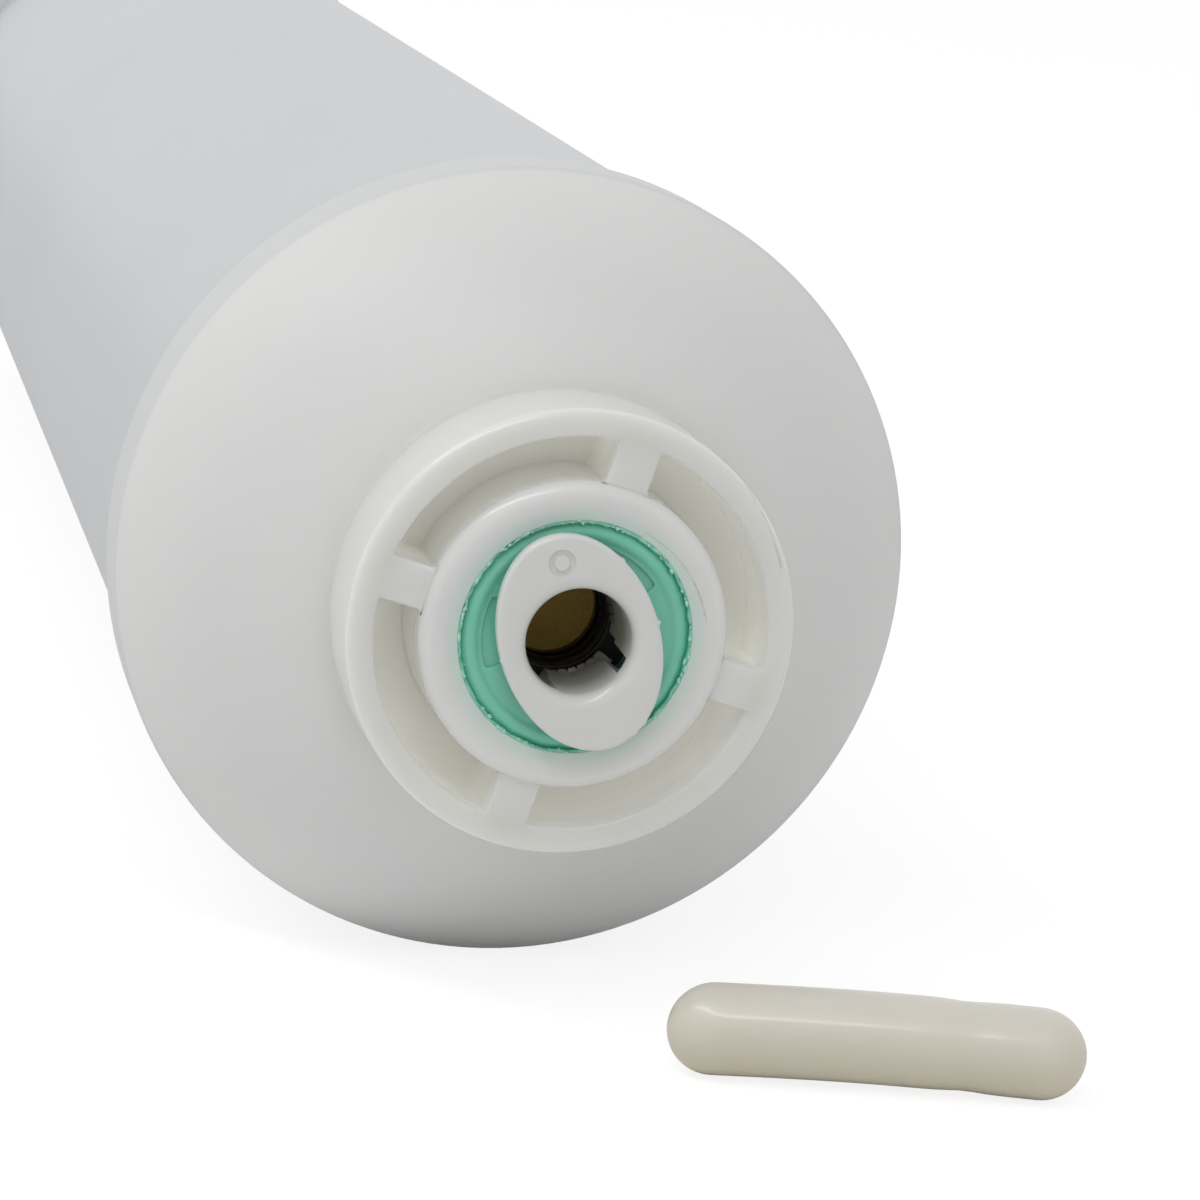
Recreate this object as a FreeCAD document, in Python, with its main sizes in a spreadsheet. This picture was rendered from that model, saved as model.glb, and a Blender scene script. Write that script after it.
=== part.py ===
import FreeCAD, Part
import math
import os
import re

import Sketcher
from FreeCAD import Placement, Rotation, Vector

# Inline carbon water filter: a sealed 2 in by 10 in cartridge with a push-fit port for
# 1/4 in tube at each end. It lies along Y with the photographed end towards -Y, and its
# origin is the middle of the tube, on its axis. Each end is drawn along its own +Z, which
# points out of the port, with level 0 at the back of the rim.

SIZES = {
    # moulded tube with a weld flange at each end
    "tube_od": 50.8,
    "tube_wall": 2.5,
    "rim_od": 53.0,
    "rim_span": 202.0,
    "flange_height": 2.1,
    # domed end cap
    "skirt_height": 3.1,
    "skirt_round": 0.6,
    "crown_radius": 31.2,
    "spigot_length": 6.1,
    "spigot_wall": 1.6,
    "spigot_gap": 0.1,
    "spring_height": 3.3,
    # hub: ring, boss and the ribs between them
    "hub_od": 28.3,
    "hub_height": 7.061,
    "hub_wall": 1.7,
    "hub_round": 0.5,
    "hub_foot_round": 0.8,
    "pocket_depth": 5.6,
    "boss_od": 19.5,
    "boss_proud": 0.7,
    "boss_round": 0.8,
    "rib_width": 2.75,
    # push-fit port, from the mouth inwards
    "cartridge_od": 14.6,
    "cartridge_length": 5.7,
    "cartridge_fit": 0.05,
    "cartridge_groove": 0.4,
    "bead_width": 0.9,
    "bead_height": 0.15,
    "panel_depth": 0.2,
    "panel_width": 1.2,
    "panel_span": 46.0,
    "mouth_length": 1.4,
    "mouth_gap": 0.1,
    "throat_length": 1.6,
    "throat_od": 10.3,
    "washer_thickness": 0.65,
    "washer_od": 11.2,
    "o_ring_cord": 1.6,
    "o_ring_id": 6.12,
    "gland_slack": 0.15,
    "gland_gap": 0.1,
    "ledge_thickness": 0.6,
    "ledge_bore": 6.0,
    # collet
    "tube_bore": 6.64,
    "collet_od": 8.7,
    "collet_length": 6.6,
    "collet_standoff": 0.8,
    "collet_flange_length": 14.1,
    "collet_flange_width": 10.0,
    "collet_flange_height": 0.9,
    "flange_round": 0.3,
    "lip_round": 0.4,
    "barb_od": 9.7,
    "barb_back": 1.2,
    "barb_land": 0.8,
    "barb_lead": 0.8,
    "slot_width": 1.1,
    "slot_mouth": 1.25,
    "slot_notch": 1.7,
    "slot_root": 0.2,
    "notch_length": 1.9,
    "slot_turn": 40.0,
    "gate_place": 5.3,
    "gate_dot": 1.0,
    "gate_ring": 1.6,
    "gate_depth": 0.2,
    # stainless teeth let into the collet's fingers
    "tooth_tip_id": 6.2,
    "tooth_thickness": 0.25,
    "tooth_reach": 0.95,
    "tooth_drop": 0.6,
    "tooth_level": 0.45,
    "tooth_span": 56.0,
    "tooth_notch": 0.2,
    # filter stack behind the port
    "felt_od": 20.8,
    "felt_thickness": 3.0,
    "grid_od": 31.0,
    "grid_thickness": 2.0,
    "grid_seat": 1.0,
    "grid_shelf": 1.1,
    "grid_fit": 0.1,
    "grid_hole": 3.2,
    "inner_hole_ring": 13.0,
    "outer_hole_ring": 24.0,
    "fill_gap": 0.1,
    "foam_thickness": 6.0,
    # push-in plugs
    "plug_od": 6.0,
    "plug_length": 26.8,
    "plug_clear": 0.15,
    "loose_plug_x": 20.0,
    "loose_plug_y": -132.6,
    "loose_plug_turn": -11.2,
    "loose_plug_bow": 0.2,
}

# Angles about the axis, in degrees from +X towards +Z, seen from outside the near port.
RIB_ANGLE = -15.3
PANEL_ANGLE = 178.5
OVAL_ANGLE = 112.3
INNER_HOLES = 8
OUTER_HOLES = 14
FINGERS = 4
NOTCHES = 8
PANELS = 3
RIBS = 4

NAMES = {alias: f"sizes.{alias}" for alias in SIZES}

doc = FreeCAD.newDocument("inline_filter")
sheet = doc.addObject("Spreadsheet::Sheet", "sizes")
for row, (alias, size) in enumerate(SIZES.items(), start=1):
    sheet.set(f"A{row}", alias)
    sheet.set(f"B{row}", str(size))
    sheet.setAlias(f"B{row}", alias)
doc.recompute()


def sized(text):
    """The expression that reads the sheet, from one written with bare size names."""
    return re.sub("[a-z_]+", lambda word: NAMES.get(word[0], word[0]), text)


def value(text):
    return float(sheet.evalExpression(sized(text)))


# Levels above the back of the rim, each worked out from the one before it.
WELD = "flange_height"
SKIRT_TOP = f"({WELD} + skirt_height)"
RIM_R = "(rim_od / 2)"
CROWN = f"({SKIRT_TOP} - sqrt(crown_radius ^ 2 - {RIM_R} ^ 2))"


def on_crown(radius):
    """The level of the dome's outside at a radius."""
    return f"({CROWN} + sqrt(crown_radius ^ 2 - {radius} ^ 2))"


def spring_centre(low_r, low, high_r, high):
    """The radius of the centre of an arc that leaves low upright and ends at high."""
    run = f"({low_r} - {high_r})"
    rise = f"({high} - {low})"
    return f"({low_r} - ({run} ^ 2 + {rise} ^ 2) / (2 * {run}))"


HUB_R = "(hub_od / 2)"
HUB_TOP = f"({on_crown(HUB_R)} + hub_height)"
POCKET = f"({HUB_TOP} - pocket_depth)"
BOSS_TOP = f"({HUB_TOP} + boss_proud)"
CARTRIDGE_FOOT = f"({BOSS_TOP} - cartridge_length)"
WASHER_FOOT = f"({CARTRIDGE_FOOT} - washer_thickness)"
GLAND_FLOOR = f"({WASHER_FOOT} - o_ring_cord - gland_slack)"
CEILING = f"({GLAND_FLOOR} - ledge_thickness)"
SHELF = f"({CEILING} - felt_thickness)"
GRID_FOOT = f"({SHELF} - grid_thickness)"
SEAT_FOOT = f"({SHELF} - grid_seat)"
SPRING = f"({WELD} + spring_height)"
SPIGOT_FOOT = f"({WELD} - spigot_length)"
COLLET_TOP = f"({BOSS_TOP} + collet_standoff + collet_flange_height)"
COLLET_NECK = f"({BOSS_TOP} + collet_standoff)"
COLLET_FOOT = f"({COLLET_TOP} - collet_length)"
TUBE_R = "(tube_od / 2 - tube_wall)"
SPIGOT_R = f"({TUBE_R} - spigot_gap)"
DOME_R = f"({SPIGOT_R} - spigot_wall)"
SEAT_R = "(grid_od / 2 + grid_fit)"
SHELF_R = f"({SEAT_R} + grid_shelf)"
RING_R = "(hub_od / 2 - hub_wall)"
BORE_R = "(tube_bore / 2)"
THROAT_TOP = f"({BOSS_TOP} - mouth_length)"
THROAT_FOOT = f"({THROAT_TOP} - throat_length)"
KNEE = spring_centre(DOME_R, SPRING, SHELF_R, SEAT_FOOT)


def plane(body, role):
    return next(f for f in body.Origin.OriginFeatures if f.Role == role)


def new_body(name):
    body = doc.addObject("PartDesign::Body", name)
    body.Label = name
    return body


def new_sketch(body, name, role, offset=None):
    sketch = body.newObject("Sketcher::SketchObject", name)
    sketch.AttachmentSupport = [(plane(body, role), "")]
    sketch.MapMode = "FlatFace"
    if offset is not None:
        sketch.AttachmentOffset = offset
    return sketch


def bind(sketch, kind, places, expression, name):
    """Adds a dimension that takes its value from the sheet."""
    index = sketch.addConstraint(Sketcher.Constraint(kind, *places, value(expression)))
    sketch.renameConstraint(index, name)
    sketch.setExpression(f"Constraints.{name}", sized(expression))


def pin_point(sketch, line, end, x, y, name):
    """Holds a point at (x, y), both expressions; a zero puts it on an axis."""
    if x == "0":
        sketch.addConstraint(Sketcher.Constraint("PointOnObject", line, end, -2))
    else:
        bind(sketch, "DistanceX", (-1, 1, line, end), x, f"{name}_x")
    if y == "0":
        sketch.addConstraint(Sketcher.Constraint("PointOnObject", line, end, -1))
    else:
        bind(sketch, "DistanceY", (-1, 1, line, end), y, f"{name}_y")


def outline(sketch, corners, arcs=None):
    """A closed outline through corners; arcs gives the centre of a curved stretch.

    arcs maps the corner that a curved stretch starts at to (x, y, turns_left).
    """
    arcs = {corners.index(corner): centre for corner, centre in (arcs or {}).items()}
    points = [Vector(value(x), value(y), 0) for x, y in corners]
    count = len(points)
    starts = {}
    for i, start in enumerate(points):
        end = points[(i + 1) % count]
        if i in arcs:
            x, y, turns_left = arcs[i]
            centre = Vector(value(x), value(y), 0)
            first = math.atan2(start.y - centre.y, start.x - centre.x)
            last = math.atan2(end.y - centre.y, end.x - centre.x)
            if not turns_left:
                first, last = last, first
            circle = Part.Circle(centre, Vector(0, 0, 1), (start - centre).Length)
            line = sketch.addGeometry(Part.ArcOfCircle(circle, first, last), False)
            starts[i] = (line, 1, 2) if turns_left else (line, 2, 1)
        else:
            line = sketch.addGeometry(Part.LineSegment(start, end), False)
            starts[i] = (line, 1, 2)
    for i in range(count):
        line, _, end = starts[i]
        after, begin, _ = starts[(i + 1) % count]
        sketch.addConstraint(Sketcher.Constraint("Coincident", line, end, after, begin))
    for i, (x, y) in enumerate(corners):
        line, begin, _ = starts[i]
        pin_point(sketch, line, begin, x, y, f"corner_{i}")
    for i, (x, y, _) in arcs.items():
        line = starts[i][0]
        if x == "0":
            sketch.addConstraint(Sketcher.Constraint("PointOnObject", line, 3, -2))
        else:
            bind(sketch, "DistanceY", (-1, 1, line, 3), y, f"centre_{i}_y")


def turned(body, name, corners, arcs=None, cut=False):
    """Turns an outline drawn in the XZ plane about Z, adding or cutting material."""
    sketch = new_sketch(body, f"{name}_outline", "XZ_Plane")
    outline(sketch, corners, arcs)
    kind = "PartDesign::Groove" if cut else "PartDesign::Revolution"
    feature = body.newObject(kind, name)
    feature.Profile = (sketch, [""])
    feature.ReferenceAxis = (sketch, ["V_Axis"])
    feature.Angle = 360
    doc.recompute()
    return feature


def around(body, name, feature, copies):
    """Repeats a feature evenly about the body's Z axis."""
    pattern = body.newObject("PartDesign::PolarPattern", name)
    pattern.Originals = [feature]
    pattern.Axis = (plane(body, "Z_Axis"), [""])
    pattern.Angle = 360
    pattern.Occurrences = copies
    body.Tip = pattern
    doc.recompute()
    return pattern


def round_edges(body, name, radius, wanted):
    """Fillets the edges of the body that wanted(edge) picks out."""
    base = body.Tip
    edges = base.Shape.Edges
    picked = [f"Edge{i}" for i, edge in enumerate(edges, start=1) if wanted(edge)]
    fillet = body.newObject("PartDesign::Fillet", name)
    fillet.Base = (base, picked)
    fillet.Radius = value(radius)
    fillet.setExpression("Radius", sized(radius))
    doc.recompute()
    return fillet


def ring_edge(radius, level):
    """Picks the round edge of a radius at a level."""
    want_r, want_z = value(radius), value(level)

    def wanted(edge):
        curve = edge.Curve
        if not isinstance(curve, Part.Circle):
            return False
        flat = abs(curve.Axis.z) > 0.999 and curve.Center.sub(Vector(0, 0, want_z)).Length < 1e-4
        return flat and abs(curve.Radius - want_r) < 1e-4

    return wanted


def seat(body, side, turn=0.0):
    """Stands a body drawn along +Z at one end, turned about the port's axis."""
    tilt = Rotation(Vector(1, 0, 0), 90 if side < 0 else -90)
    spin = Rotation(Vector(0, 0, 1), turn)
    body.Placement = Placement(Vector(0, side * value("rim_span / 2"), 0), tilt.multiply(spin))
    body.setExpression("Placement.Base.y", sized(f"{side} * rim_span / 2"))


def housing_tube():
    """One moulded tube; a flange at each end carries the cap's weld."""
    body = new_body("housing_tube")
    tube = "tube_od / 2"
    end, step = f"(rim_span / 2 + {WELD})", "rim_span / 2"
    turned(body, "wall", [
        (TUBE_R, f"-1 * {end}"), (RIM_R, f"-1 * {end}"), (RIM_R, f"-1 * {step}"),
        (tube, f"-1 * {step}"), (tube, step), (RIM_R, step), (RIM_R, end), (TUBE_R, end),
    ])
    body.Placement = Placement(Vector(0, 0, 0), Rotation(Vector(1, 0, 0), 90))
    return body


def end_cap(name, side):
    """Domed cap with its ribbed hub, stepped port bore and the seats behind it."""
    body = new_body(name)
    boss = "(boss_od / 2)"
    bore = "(cartridge_od / 2 + cartridge_fit)"
    washer = "(washer_od / 2 + gland_gap)"
    gland = "(o_ring_id / 2 + o_ring_cord + gland_gap)"
    ledge = "(ledge_bore / 2)"
    felt = "(felt_od / 2)"
    corners = [
        (SPIGOT_R, SPIGOT_FOOT), (SPIGOT_R, WELD), (RIM_R, WELD), (RIM_R, SKIRT_TOP),
        (HUB_R, on_crown(HUB_R)), (HUB_R, HUB_TOP), (RING_R, HUB_TOP), (RING_R, POCKET),
        (boss, POCKET), (boss, BOSS_TOP), (bore, BOSS_TOP), (bore, CARTRIDGE_FOOT),
        (washer, CARTRIDGE_FOOT), (washer, WASHER_FOOT), (gland, WASHER_FOOT),
        (gland, GLAND_FLOOR), (ledge, GLAND_FLOOR), (ledge, CEILING), (felt, CEILING),
        (felt, SHELF), (SEAT_R, SHELF), (SEAT_R, SEAT_FOOT), (SHELF_R, SEAT_FOOT),
        (DOME_R, SPRING), (DOME_R, SPIGOT_FOOT),
    ]
    turned(body, "shell", corners, {
        (RIM_R, SKIRT_TOP): ("0", CROWN, True), (SHELF_R, SEAT_FOOT): (KNEE, SPRING, False),
    })
    round_edges(body, "skirt_edge", "skirt_round", ring_edge(RIM_R, SKIRT_TOP))
    round_edges(body, "hub_edge", "hub_round", ring_edge(HUB_R, HUB_TOP))
    round_edges(body, "hub_foot", "hub_foot_round", ring_edge(HUB_R, on_crown(HUB_R)))
    round_edges(body, "boss_edge", "boss_round", ring_edge(boss, BOSS_TOP))
    # The ribs stand on the pocket floor and run into the ring and the boss.
    sketch = new_sketch(body, "rib_outline", "XY_Plane")
    sketch.AttachmentOffset = Placement(Vector(0, 0, value(POCKET)), Rotation())
    sketch.setExpression("AttachmentOffset.Base.z", sized(POCKET))
    inner, outer, half = "(boss_od / 2 - boss_round)", f"({RING_R} + hub_wall / 2)", "rib_width / 2"
    outline(sketch, [(inner, f"-1 * {half}"), (outer, f"-1 * {half}"), (outer, half), (inner, half)])
    rib = body.newObject("PartDesign::Pad", "rib")
    rib.Profile = (sketch, [""])
    rib.Length = value("pocket_depth")
    rib.setExpression("Length", sized("pocket_depth"))
    doc.recompute()
    around(body, "ribs", rib, RIBS)
    seat(body, side, RIB_ANGLE)
    return body


def cartridge(name, side):
    """Green retaining cartridge: welded into the boss, it holds the collet in."""
    body = new_body(name)
    mouth = "(collet_od / 2 + mouth_gap)"
    rim, groove_r = "(cartridge_od / 2)", "(cartridge_od / 2 - cartridge_groove)"
    face = f"({BOSS_TOP} - bead_height)"
    bead_r = f"({groove_r} - bead_width)"
    bead_mid = f"({groove_r} - bead_width / 2)"
    arc_level = f"({BOSS_TOP} - (bead_width ^ 2 / 4 + bead_height ^ 2) / (2 * bead_height))"
    turned(body, "cup", [
        (mouth, face), (mouth, THROAT_TOP), ("throat_od / 2", THROAT_FOOT),
        ("throat_od / 2", CARTRIDGE_FOOT), (rim, CARTRIDGE_FOOT),
        (rim, f"({face} - cartridge_groove)"), (groove_r, face), (bead_r, face),
    ], {(groove_r, face): (bead_mid, arc_level, True)})
    # Shallow panels moulded into the face, bare here.
    sketch = new_sketch(body, "panel_outline", "XY_Plane")
    sketch.AttachmentOffset = Placement(Vector(0, 0, value(face)), Rotation())
    sketch.setExpression("AttachmentOffset.Base.z", sized(face))
    half = "(panel_span / 2 * 1 deg)"
    outer = f"({bead_r} - panel_depth)"
    inner = f"({outer} - panel_width)"
    corners = [
        (f"{radius} * cos({half})", f"{sign} * {radius} * sin({half})")
        for radius, sign in ((inner, -1), (outer, -1), (outer, 1), (inner, 1))
    ]
    outline(sketch, corners, {corners[1]: ("0", "0", True), corners[3]: ("0", "0", False)})
    panel = body.newObject("PartDesign::Pocket", "panel")
    panel.Profile = (sketch, [""])
    panel.Length = value("panel_depth")
    panel.setExpression("Length", sized("panel_depth"))
    doc.recompute()
    around(body, "panels", panel, PANELS)
    seat(body, side, PANEL_ANGLE)
    return body


def tooth_outline():
    """Section of a tooth strip: a thin cone whose inner edge points into the port."""
    tip_level = f"({COLLET_FOOT} + tooth_level)"
    root_r = "(tooth_tip_id / 2 + tooth_reach)"
    root_level = f"({tip_level} + tooth_drop)"
    return [
        ("tooth_tip_id / 2", tip_level), (root_r, root_level),
        (root_r, f"({root_level} + tooth_thickness)"),
        ("tooth_tip_id / 2", f"({tip_level} + tooth_thickness)"),
    ]


def collet(name, side):
    """Oval-headed collet: four sprung fingers end in barbs and carry the teeth."""
    body = new_body(name)
    neck, barb = "(collet_od / 2)", "(barb_od / 2)"
    land_foot = f"({COLLET_FOOT} + barb_lead)"
    land_top = f"({land_foot} + barb_land)"
    turned(body, "sleeve", [
        (BORE_R, COLLET_FOOT), (neck, COLLET_FOOT), (barb, land_foot), (barb, land_top),
        (neck, f"({land_top} + barb_back)"), (neck, COLLET_TOP), (BORE_R, COLLET_TOP),
    ])
    sketch = new_sketch(body, "oval", "XY_Plane")
    sketch.AttachmentOffset = Placement(Vector(0, 0, value(COLLET_NECK)), Rotation())
    sketch.setExpression("AttachmentOffset.Base.z", sized(COLLET_NECK))
    long_half, short_half = value("collet_flange_length / 2"), value("collet_flange_width / 2")
    oval = Part.Ellipse(Vector(long_half, 0), Vector(0, short_half), Vector(0, 0))
    sketch.addGeometry(oval, False)
    sketch.exposeInternalGeometry(0)
    sketch.addConstraint(Sketcher.Constraint("Coincident", 0, 3, -1, 1))
    sketch.addConstraint(Sketcher.Constraint("PointOnObject", 1, 1, -1))
    bind(sketch, "Distance", (1,), "collet_flange_length", "length_over_oval")
    bind(sketch, "Distance", (2,), "collet_flange_width", "width_over_oval")
    hole = sketch.addGeometry(Part.Circle(Vector(0, 0), Vector(0, 0, 1), value(BORE_R)), False)
    sketch.addConstraint(Sketcher.Constraint("Coincident", hole, 3, -1, 1))
    bind(sketch, "Radius", (hole,), BORE_R, "bore_radius")
    flange = body.newObject("PartDesign::Pad", "flange")
    flange.Profile = (sketch, [""])
    flange.Length = value("collet_flange_height")
    flange.setExpression("Length", sized("collet_flange_height"))
    doc.recompute()
    top = value(COLLET_TOP)
    round_edges(body, "flange_edge", "flange_round", lambda edge: isinstance(
        edge.Curve, Part.Ellipse) and abs(edge.Curve.Center.z - top) < 1e-4)
    round_edges(body, "lip", "lip_round", ring_edge(BORE_R, COLLET_TOP))
    # A shallow moat round the gate mark, on the oval's long axis.
    sketch = new_sketch(body, "gate_outline", "XY_Plane")
    sketch.AttachmentOffset = Placement(Vector(0, 0, top), Rotation())
    sketch.setExpression("AttachmentOffset.Base.z", sized(COLLET_TOP))
    for label, size in (("dot", "gate_dot / 2"), ("ring", "gate_ring / 2")):
        centre = Vector(value("gate_place"), 0)
        circle = sketch.addGeometry(Part.Circle(centre, Vector(0, 0, 1), value(size)), False)
        pin_point(sketch, circle, 3, "gate_place", "0", label)
        bind(sketch, "Radius", (circle,), size, f"{label}_radius")
    gate = body.newObject("PartDesign::Pocket", "gate_moat")
    gate.Profile = (sketch, [""])
    gate.Length = value("gate_depth")
    gate.setExpression("Length", sized("gate_depth"))
    doc.recompute()
    # Slots divide the sleeve into fingers and open wider below the barbs' backs.
    turn = Rotation(Vector(0, 1, 0), value("slot_turn"))
    sketch = new_sketch(body, "slot_outline", "XZ_Plane", Placement(Vector(0, 0, 0), turn))
    root = f"({COLLET_NECK} - slot_root)"
    step = f"({COLLET_FOOT} + notch_length)"
    foot = f"({COLLET_FOOT} - slot_root)"
    outline(sketch, [
        ("-1 * slot_notch / 2", foot), ("slot_notch / 2", foot), ("slot_notch / 2", step),
        ("slot_mouth / 2", step), ("slot_width / 2", root), ("-1 * slot_width / 2", root),
        ("-1 * slot_mouth / 2", step), ("-1 * slot_notch / 2", step),
    ])
    slot = body.newObject("PartDesign::Pocket", "slot")
    slot.Profile = (sketch, [""])
    slot.Length = value("barb_od")
    slot.setExpression("Length", sized("barb_od"))
    doc.recompute()
    around(body, "slots", slot, FINGERS)
    turned(body, "tooth_seat", tooth_outline(), cut=True)
    seat(body, side, OVAL_ANGLE)
    return body


def collet_teeth(name, side):
    """Four pressed stainless strips, one in each finger of the collet."""
    body = new_body(name)
    section = new_sketch(body, "strip_section", "XZ_Plane")
    outline(section, tooth_outline())
    strip = body.newObject("PartDesign::Revolution", "strip")
    strip.Profile = (section, [""])
    strip.ReferenceAxis = (section, ["V_Axis"])
    strip.Angle = value("tooth_span")
    strip.setExpression("Angle", sized("tooth_span"))
    strip.Midplane = True
    doc.recompute()
    around(body, "strips", strip, FINGERS)
    # Notches in the inner edge leave the points that bite on the tube.
    sketch = new_sketch(body, "notch_outline", "XY_Plane")
    inner = "(tooth_tip_id / 2)"
    outline(sketch, [
        (f"({inner} - tooth_notch)", "-1 * tooth_notch"), (f"({inner} + tooth_notch)", "0"),
        (f"({inner} - tooth_notch)", "tooth_notch"),
    ])
    turn = Rotation(Vector(0, 0, 1), 180 / (FINGERS * NOTCHES))
    sketch.AttachmentOffset = Placement(Vector(0, 0, value(COLLET_FOOT)), turn)
    notch = body.newObject("PartDesign::Pocket", "notch")
    notch.Profile = (sketch, [""])
    notch.Reversed = True
    notch.Length = value("collet_length")
    notch.setExpression("Length", sized("collet_length"))
    doc.recompute()
    around(body, "notches", notch, FINGERS * NOTCHES)
    return body


def ring_washer(name, side):
    """Flat washer that keeps the collet's fingers off the O-ring."""
    body = new_body(name)
    turned(body, "ring", [
        (BORE_R, WASHER_FOOT), ("washer_od / 2", WASHER_FOOT),
        ("washer_od / 2", CARTRIDGE_FOOT), (BORE_R, CARTRIDGE_FOOT),
    ])
    seat(body, side)
    return body


def o_ring(name, side):
    """Nitrile O-ring in its gland under the washer."""
    ring = doc.addObject("Part::Torus", name)
    ring.Label = name
    ring.setExpression("Radius1", sized("o_ring_id / 2 + o_ring_cord / 2"))
    ring.setExpression("Radius2", sized("o_ring_cord / 2"))
    level = f"(rim_span / 2 + {GLAND_FLOOR} + gland_slack / 2 + o_ring_cord / 2)"
    ring.Placement = Placement(Vector(0, side * value(level), 0), Rotation(Vector(1, 0, 0), 90))
    ring.setExpression("Placement.Base.y", sized(f"{side} * {level}"))
    return ring


def felt_pad(name, side):
    """Felt pad between the port's ledge and the support grid."""
    body = new_body(name)
    edge = "(felt_od / 2 - fill_gap)"
    turned(body, "disc", [("0", SHELF), (edge, SHELF), (edge, CEILING), ("0", CEILING)])
    seat(body, side)
    return body


def support_grid(name, side):
    """Perforated disc that keeps the carbon out of the port."""
    body = new_body(name)
    edge = "grid_od / 2"
    turned(body, "disc", [("0", GRID_FOOT), (edge, GRID_FOOT), (edge, SHELF), ("0", SHELF)])
    for label, ring, copies in (
        ("inner", "inner_hole_ring / 2", INNER_HOLES),
        ("outer", "outer_hole_ring / 2", OUTER_HOLES),
   ):
        sketch = new_sketch(body, f"{label}_hole", "XY_Plane")
        sketch.AttachmentOffset = Placement(Vector(0, 0, value(SHELF)), Rotation())
        sketch.setExpression("AttachmentOffset.Base.z", sized(SHELF))
        circle = Part.Circle(Vector(value(ring), 0), Vector(0, 0, 1), value("grid_hole / 2"))
        hole = sketch.addGeometry(circle, False)
        pin_point(sketch, hole, 3, ring, "0", "place")
        bind(sketch, "Radius", (hole,), "grid_hole / 2", "hole_radius")
        pocket = body.newObject("PartDesign::Pocket", f"{label}_drilling")
        pocket.Profile = (sketch, [""])
        pocket.Length = value("grid_thickness")
        pocket.setExpression("Length", sized("grid_thickness"))
        doc.recompute()
        around(body, f"{label}_holes", pocket, copies)
    seat(body, side)
    return body


# What fills the dome follows its inside at a gap, up to the grid.
FILL_R = f"({DOME_R} - fill_gap)"
FILL_END = f"({KNEE} + sqrt(({FILL_R} - {KNEE}) ^ 2 - ({GRID_FOOT} - {SPRING}) ^ 2))"
FOAM_FOOT = f"({SPRING} - foam_thickness)"


def carbon_bed():
    """Granular carbon that fills the tube from the front grid to the foam disc."""
    body = new_body("carbon_bed")
    half = "rim_span / 2"
    foam_face = f"-1 * ({half} + {FOAM_FOOT})"
    spigot_front = f"({half} + {SPIGOT_FOOT} - fill_gap)"
    wide = f"({TUBE_R} - fill_gap)"
    centre_level = f"({half} + {SPRING})"
    turned(body, "fill", [
        ("0", foam_face), (FILL_R, foam_face), (FILL_R, f"-1 * {spigot_front}"),
        (wide, f"-1 * {spigot_front}"), (wide, spigot_front), (FILL_R, spigot_front),
        (FILL_R, centre_level), (FILL_END, f"({half} + {GRID_FOOT})"),
        ("0", f"({half} + {GRID_FOOT})"),
    ], {(FILL_R, centre_level): (KNEE, centre_level, True)})
    body.Placement = Placement(Vector(0, 0, 0), Rotation(Vector(1, 0, 0), 90))
    return body


def foam_disc():
    """Foam disc that keeps the bed tight as it settles, squeezed into the rear dome."""
    body = new_body("foam_disc")
    turned(body, "disc", [
        ("0", FOAM_FOOT), (FILL_R, FOAM_FOOT), (FILL_R, SPRING),
        (FILL_END, GRID_FOOT), ("0", GRID_FOOT),
    ], {(FILL_R, SPRING): (KNEE, SPRING, True)})
    seat(body, 1)
    return body


def rear_plug():
    """Round-ended plug, pushed into the rear port as far as the ledge lets it."""
    body = new_body("rear_plug")
    tip = f"({GLAND_FLOOR} + plug_clear)"
    radius = "(plug_od / 2)"
    low = f"({tip} + {radius})"
    high = f"({tip} + plug_length - {radius})"
    turned(body, "rod", [
        ("0", tip), (radius, low), (radius, high), ("0", f"({tip} + plug_length)"),
    ], {("0", tip): ("0", low, True), (radius, high): ("0", high, True)})
    seat(body, 1)
    return body


def front_plug():
    """The near port's plug, taken out: it lies by the cap, set in a slight bow."""
    radius = value("plug_od / 2")
    reach = value("plug_length / 2") - radius
    bow = value("loose_plug_bow")
    start, end = Vector(-reach, 0, 0), Vector(reach, 0, 0)
    arc = Part.Arc(start, Vector(0, bow, 0), end)
    spine = Part.Wire([arc.toShape()])
    section = Part.Wire([Part.Circle(start, arc.tangent(arc.FirstParameter)[0], radius).toShape()])
    rod = spine.makePipeShell([section], True, True)
    rod = rod.fuse([Part.makeSphere(radius, start), Part.makeSphere(radius, end)]).removeSplitter()
    plug = doc.addObject("Part::Feature", "front_plug")
    plug.Label = "front_plug"
    plug.Shape = rod
    floor = value("rim_od / 2 - plug_od / 2")
    place = Vector(value("loose_plug_x"), value("loose_plug_y"), -floor)
    plug.Placement = Placement(place, Rotation(Vector(0, 0, 1), value("loose_plug_turn")))
    return plug


parts = [housing_tube(), carbon_bed(), foam_disc(), rear_plug(), front_plug()]
for end_name, end_side in (("front", -1), ("rear", 1)):
    parts.append(end_cap(f"{end_name}_end_cap", end_side))
    parts.append(cartridge(f"{end_name}_cartridge", end_side))
    parts.append(collet(f"{end_name}_collet", end_side))
    teeth = collet_teeth(f"{end_name}_collet_teeth", end_side)
    seat(teeth, end_side, OVAL_ANGLE - value("slot_turn") + 180 / FINGERS)
    parts.append(teeth)
    parts.append(ring_washer(f"{end_name}_washer", end_side))
    parts.append(o_ring(f"{end_name}_o_ring", end_side))
    parts.append(felt_pad(f"{end_name}_felt_pad", end_side))
    parts.append(support_grid(f"{end_name}_support_grid", end_side))

doc.recompute()
failed = [o.Name for o in doc.Objects if "Invalid" in o.State or "Error" in o.State]
if failed:
    raise RuntimeError(f"these objects failed: {failed}")
for part in parts:
    if part.Shape.isNull() or not part.Shape.isValid():
        raise RuntimeError(f"{part.Label} has no sound shape")

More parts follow.
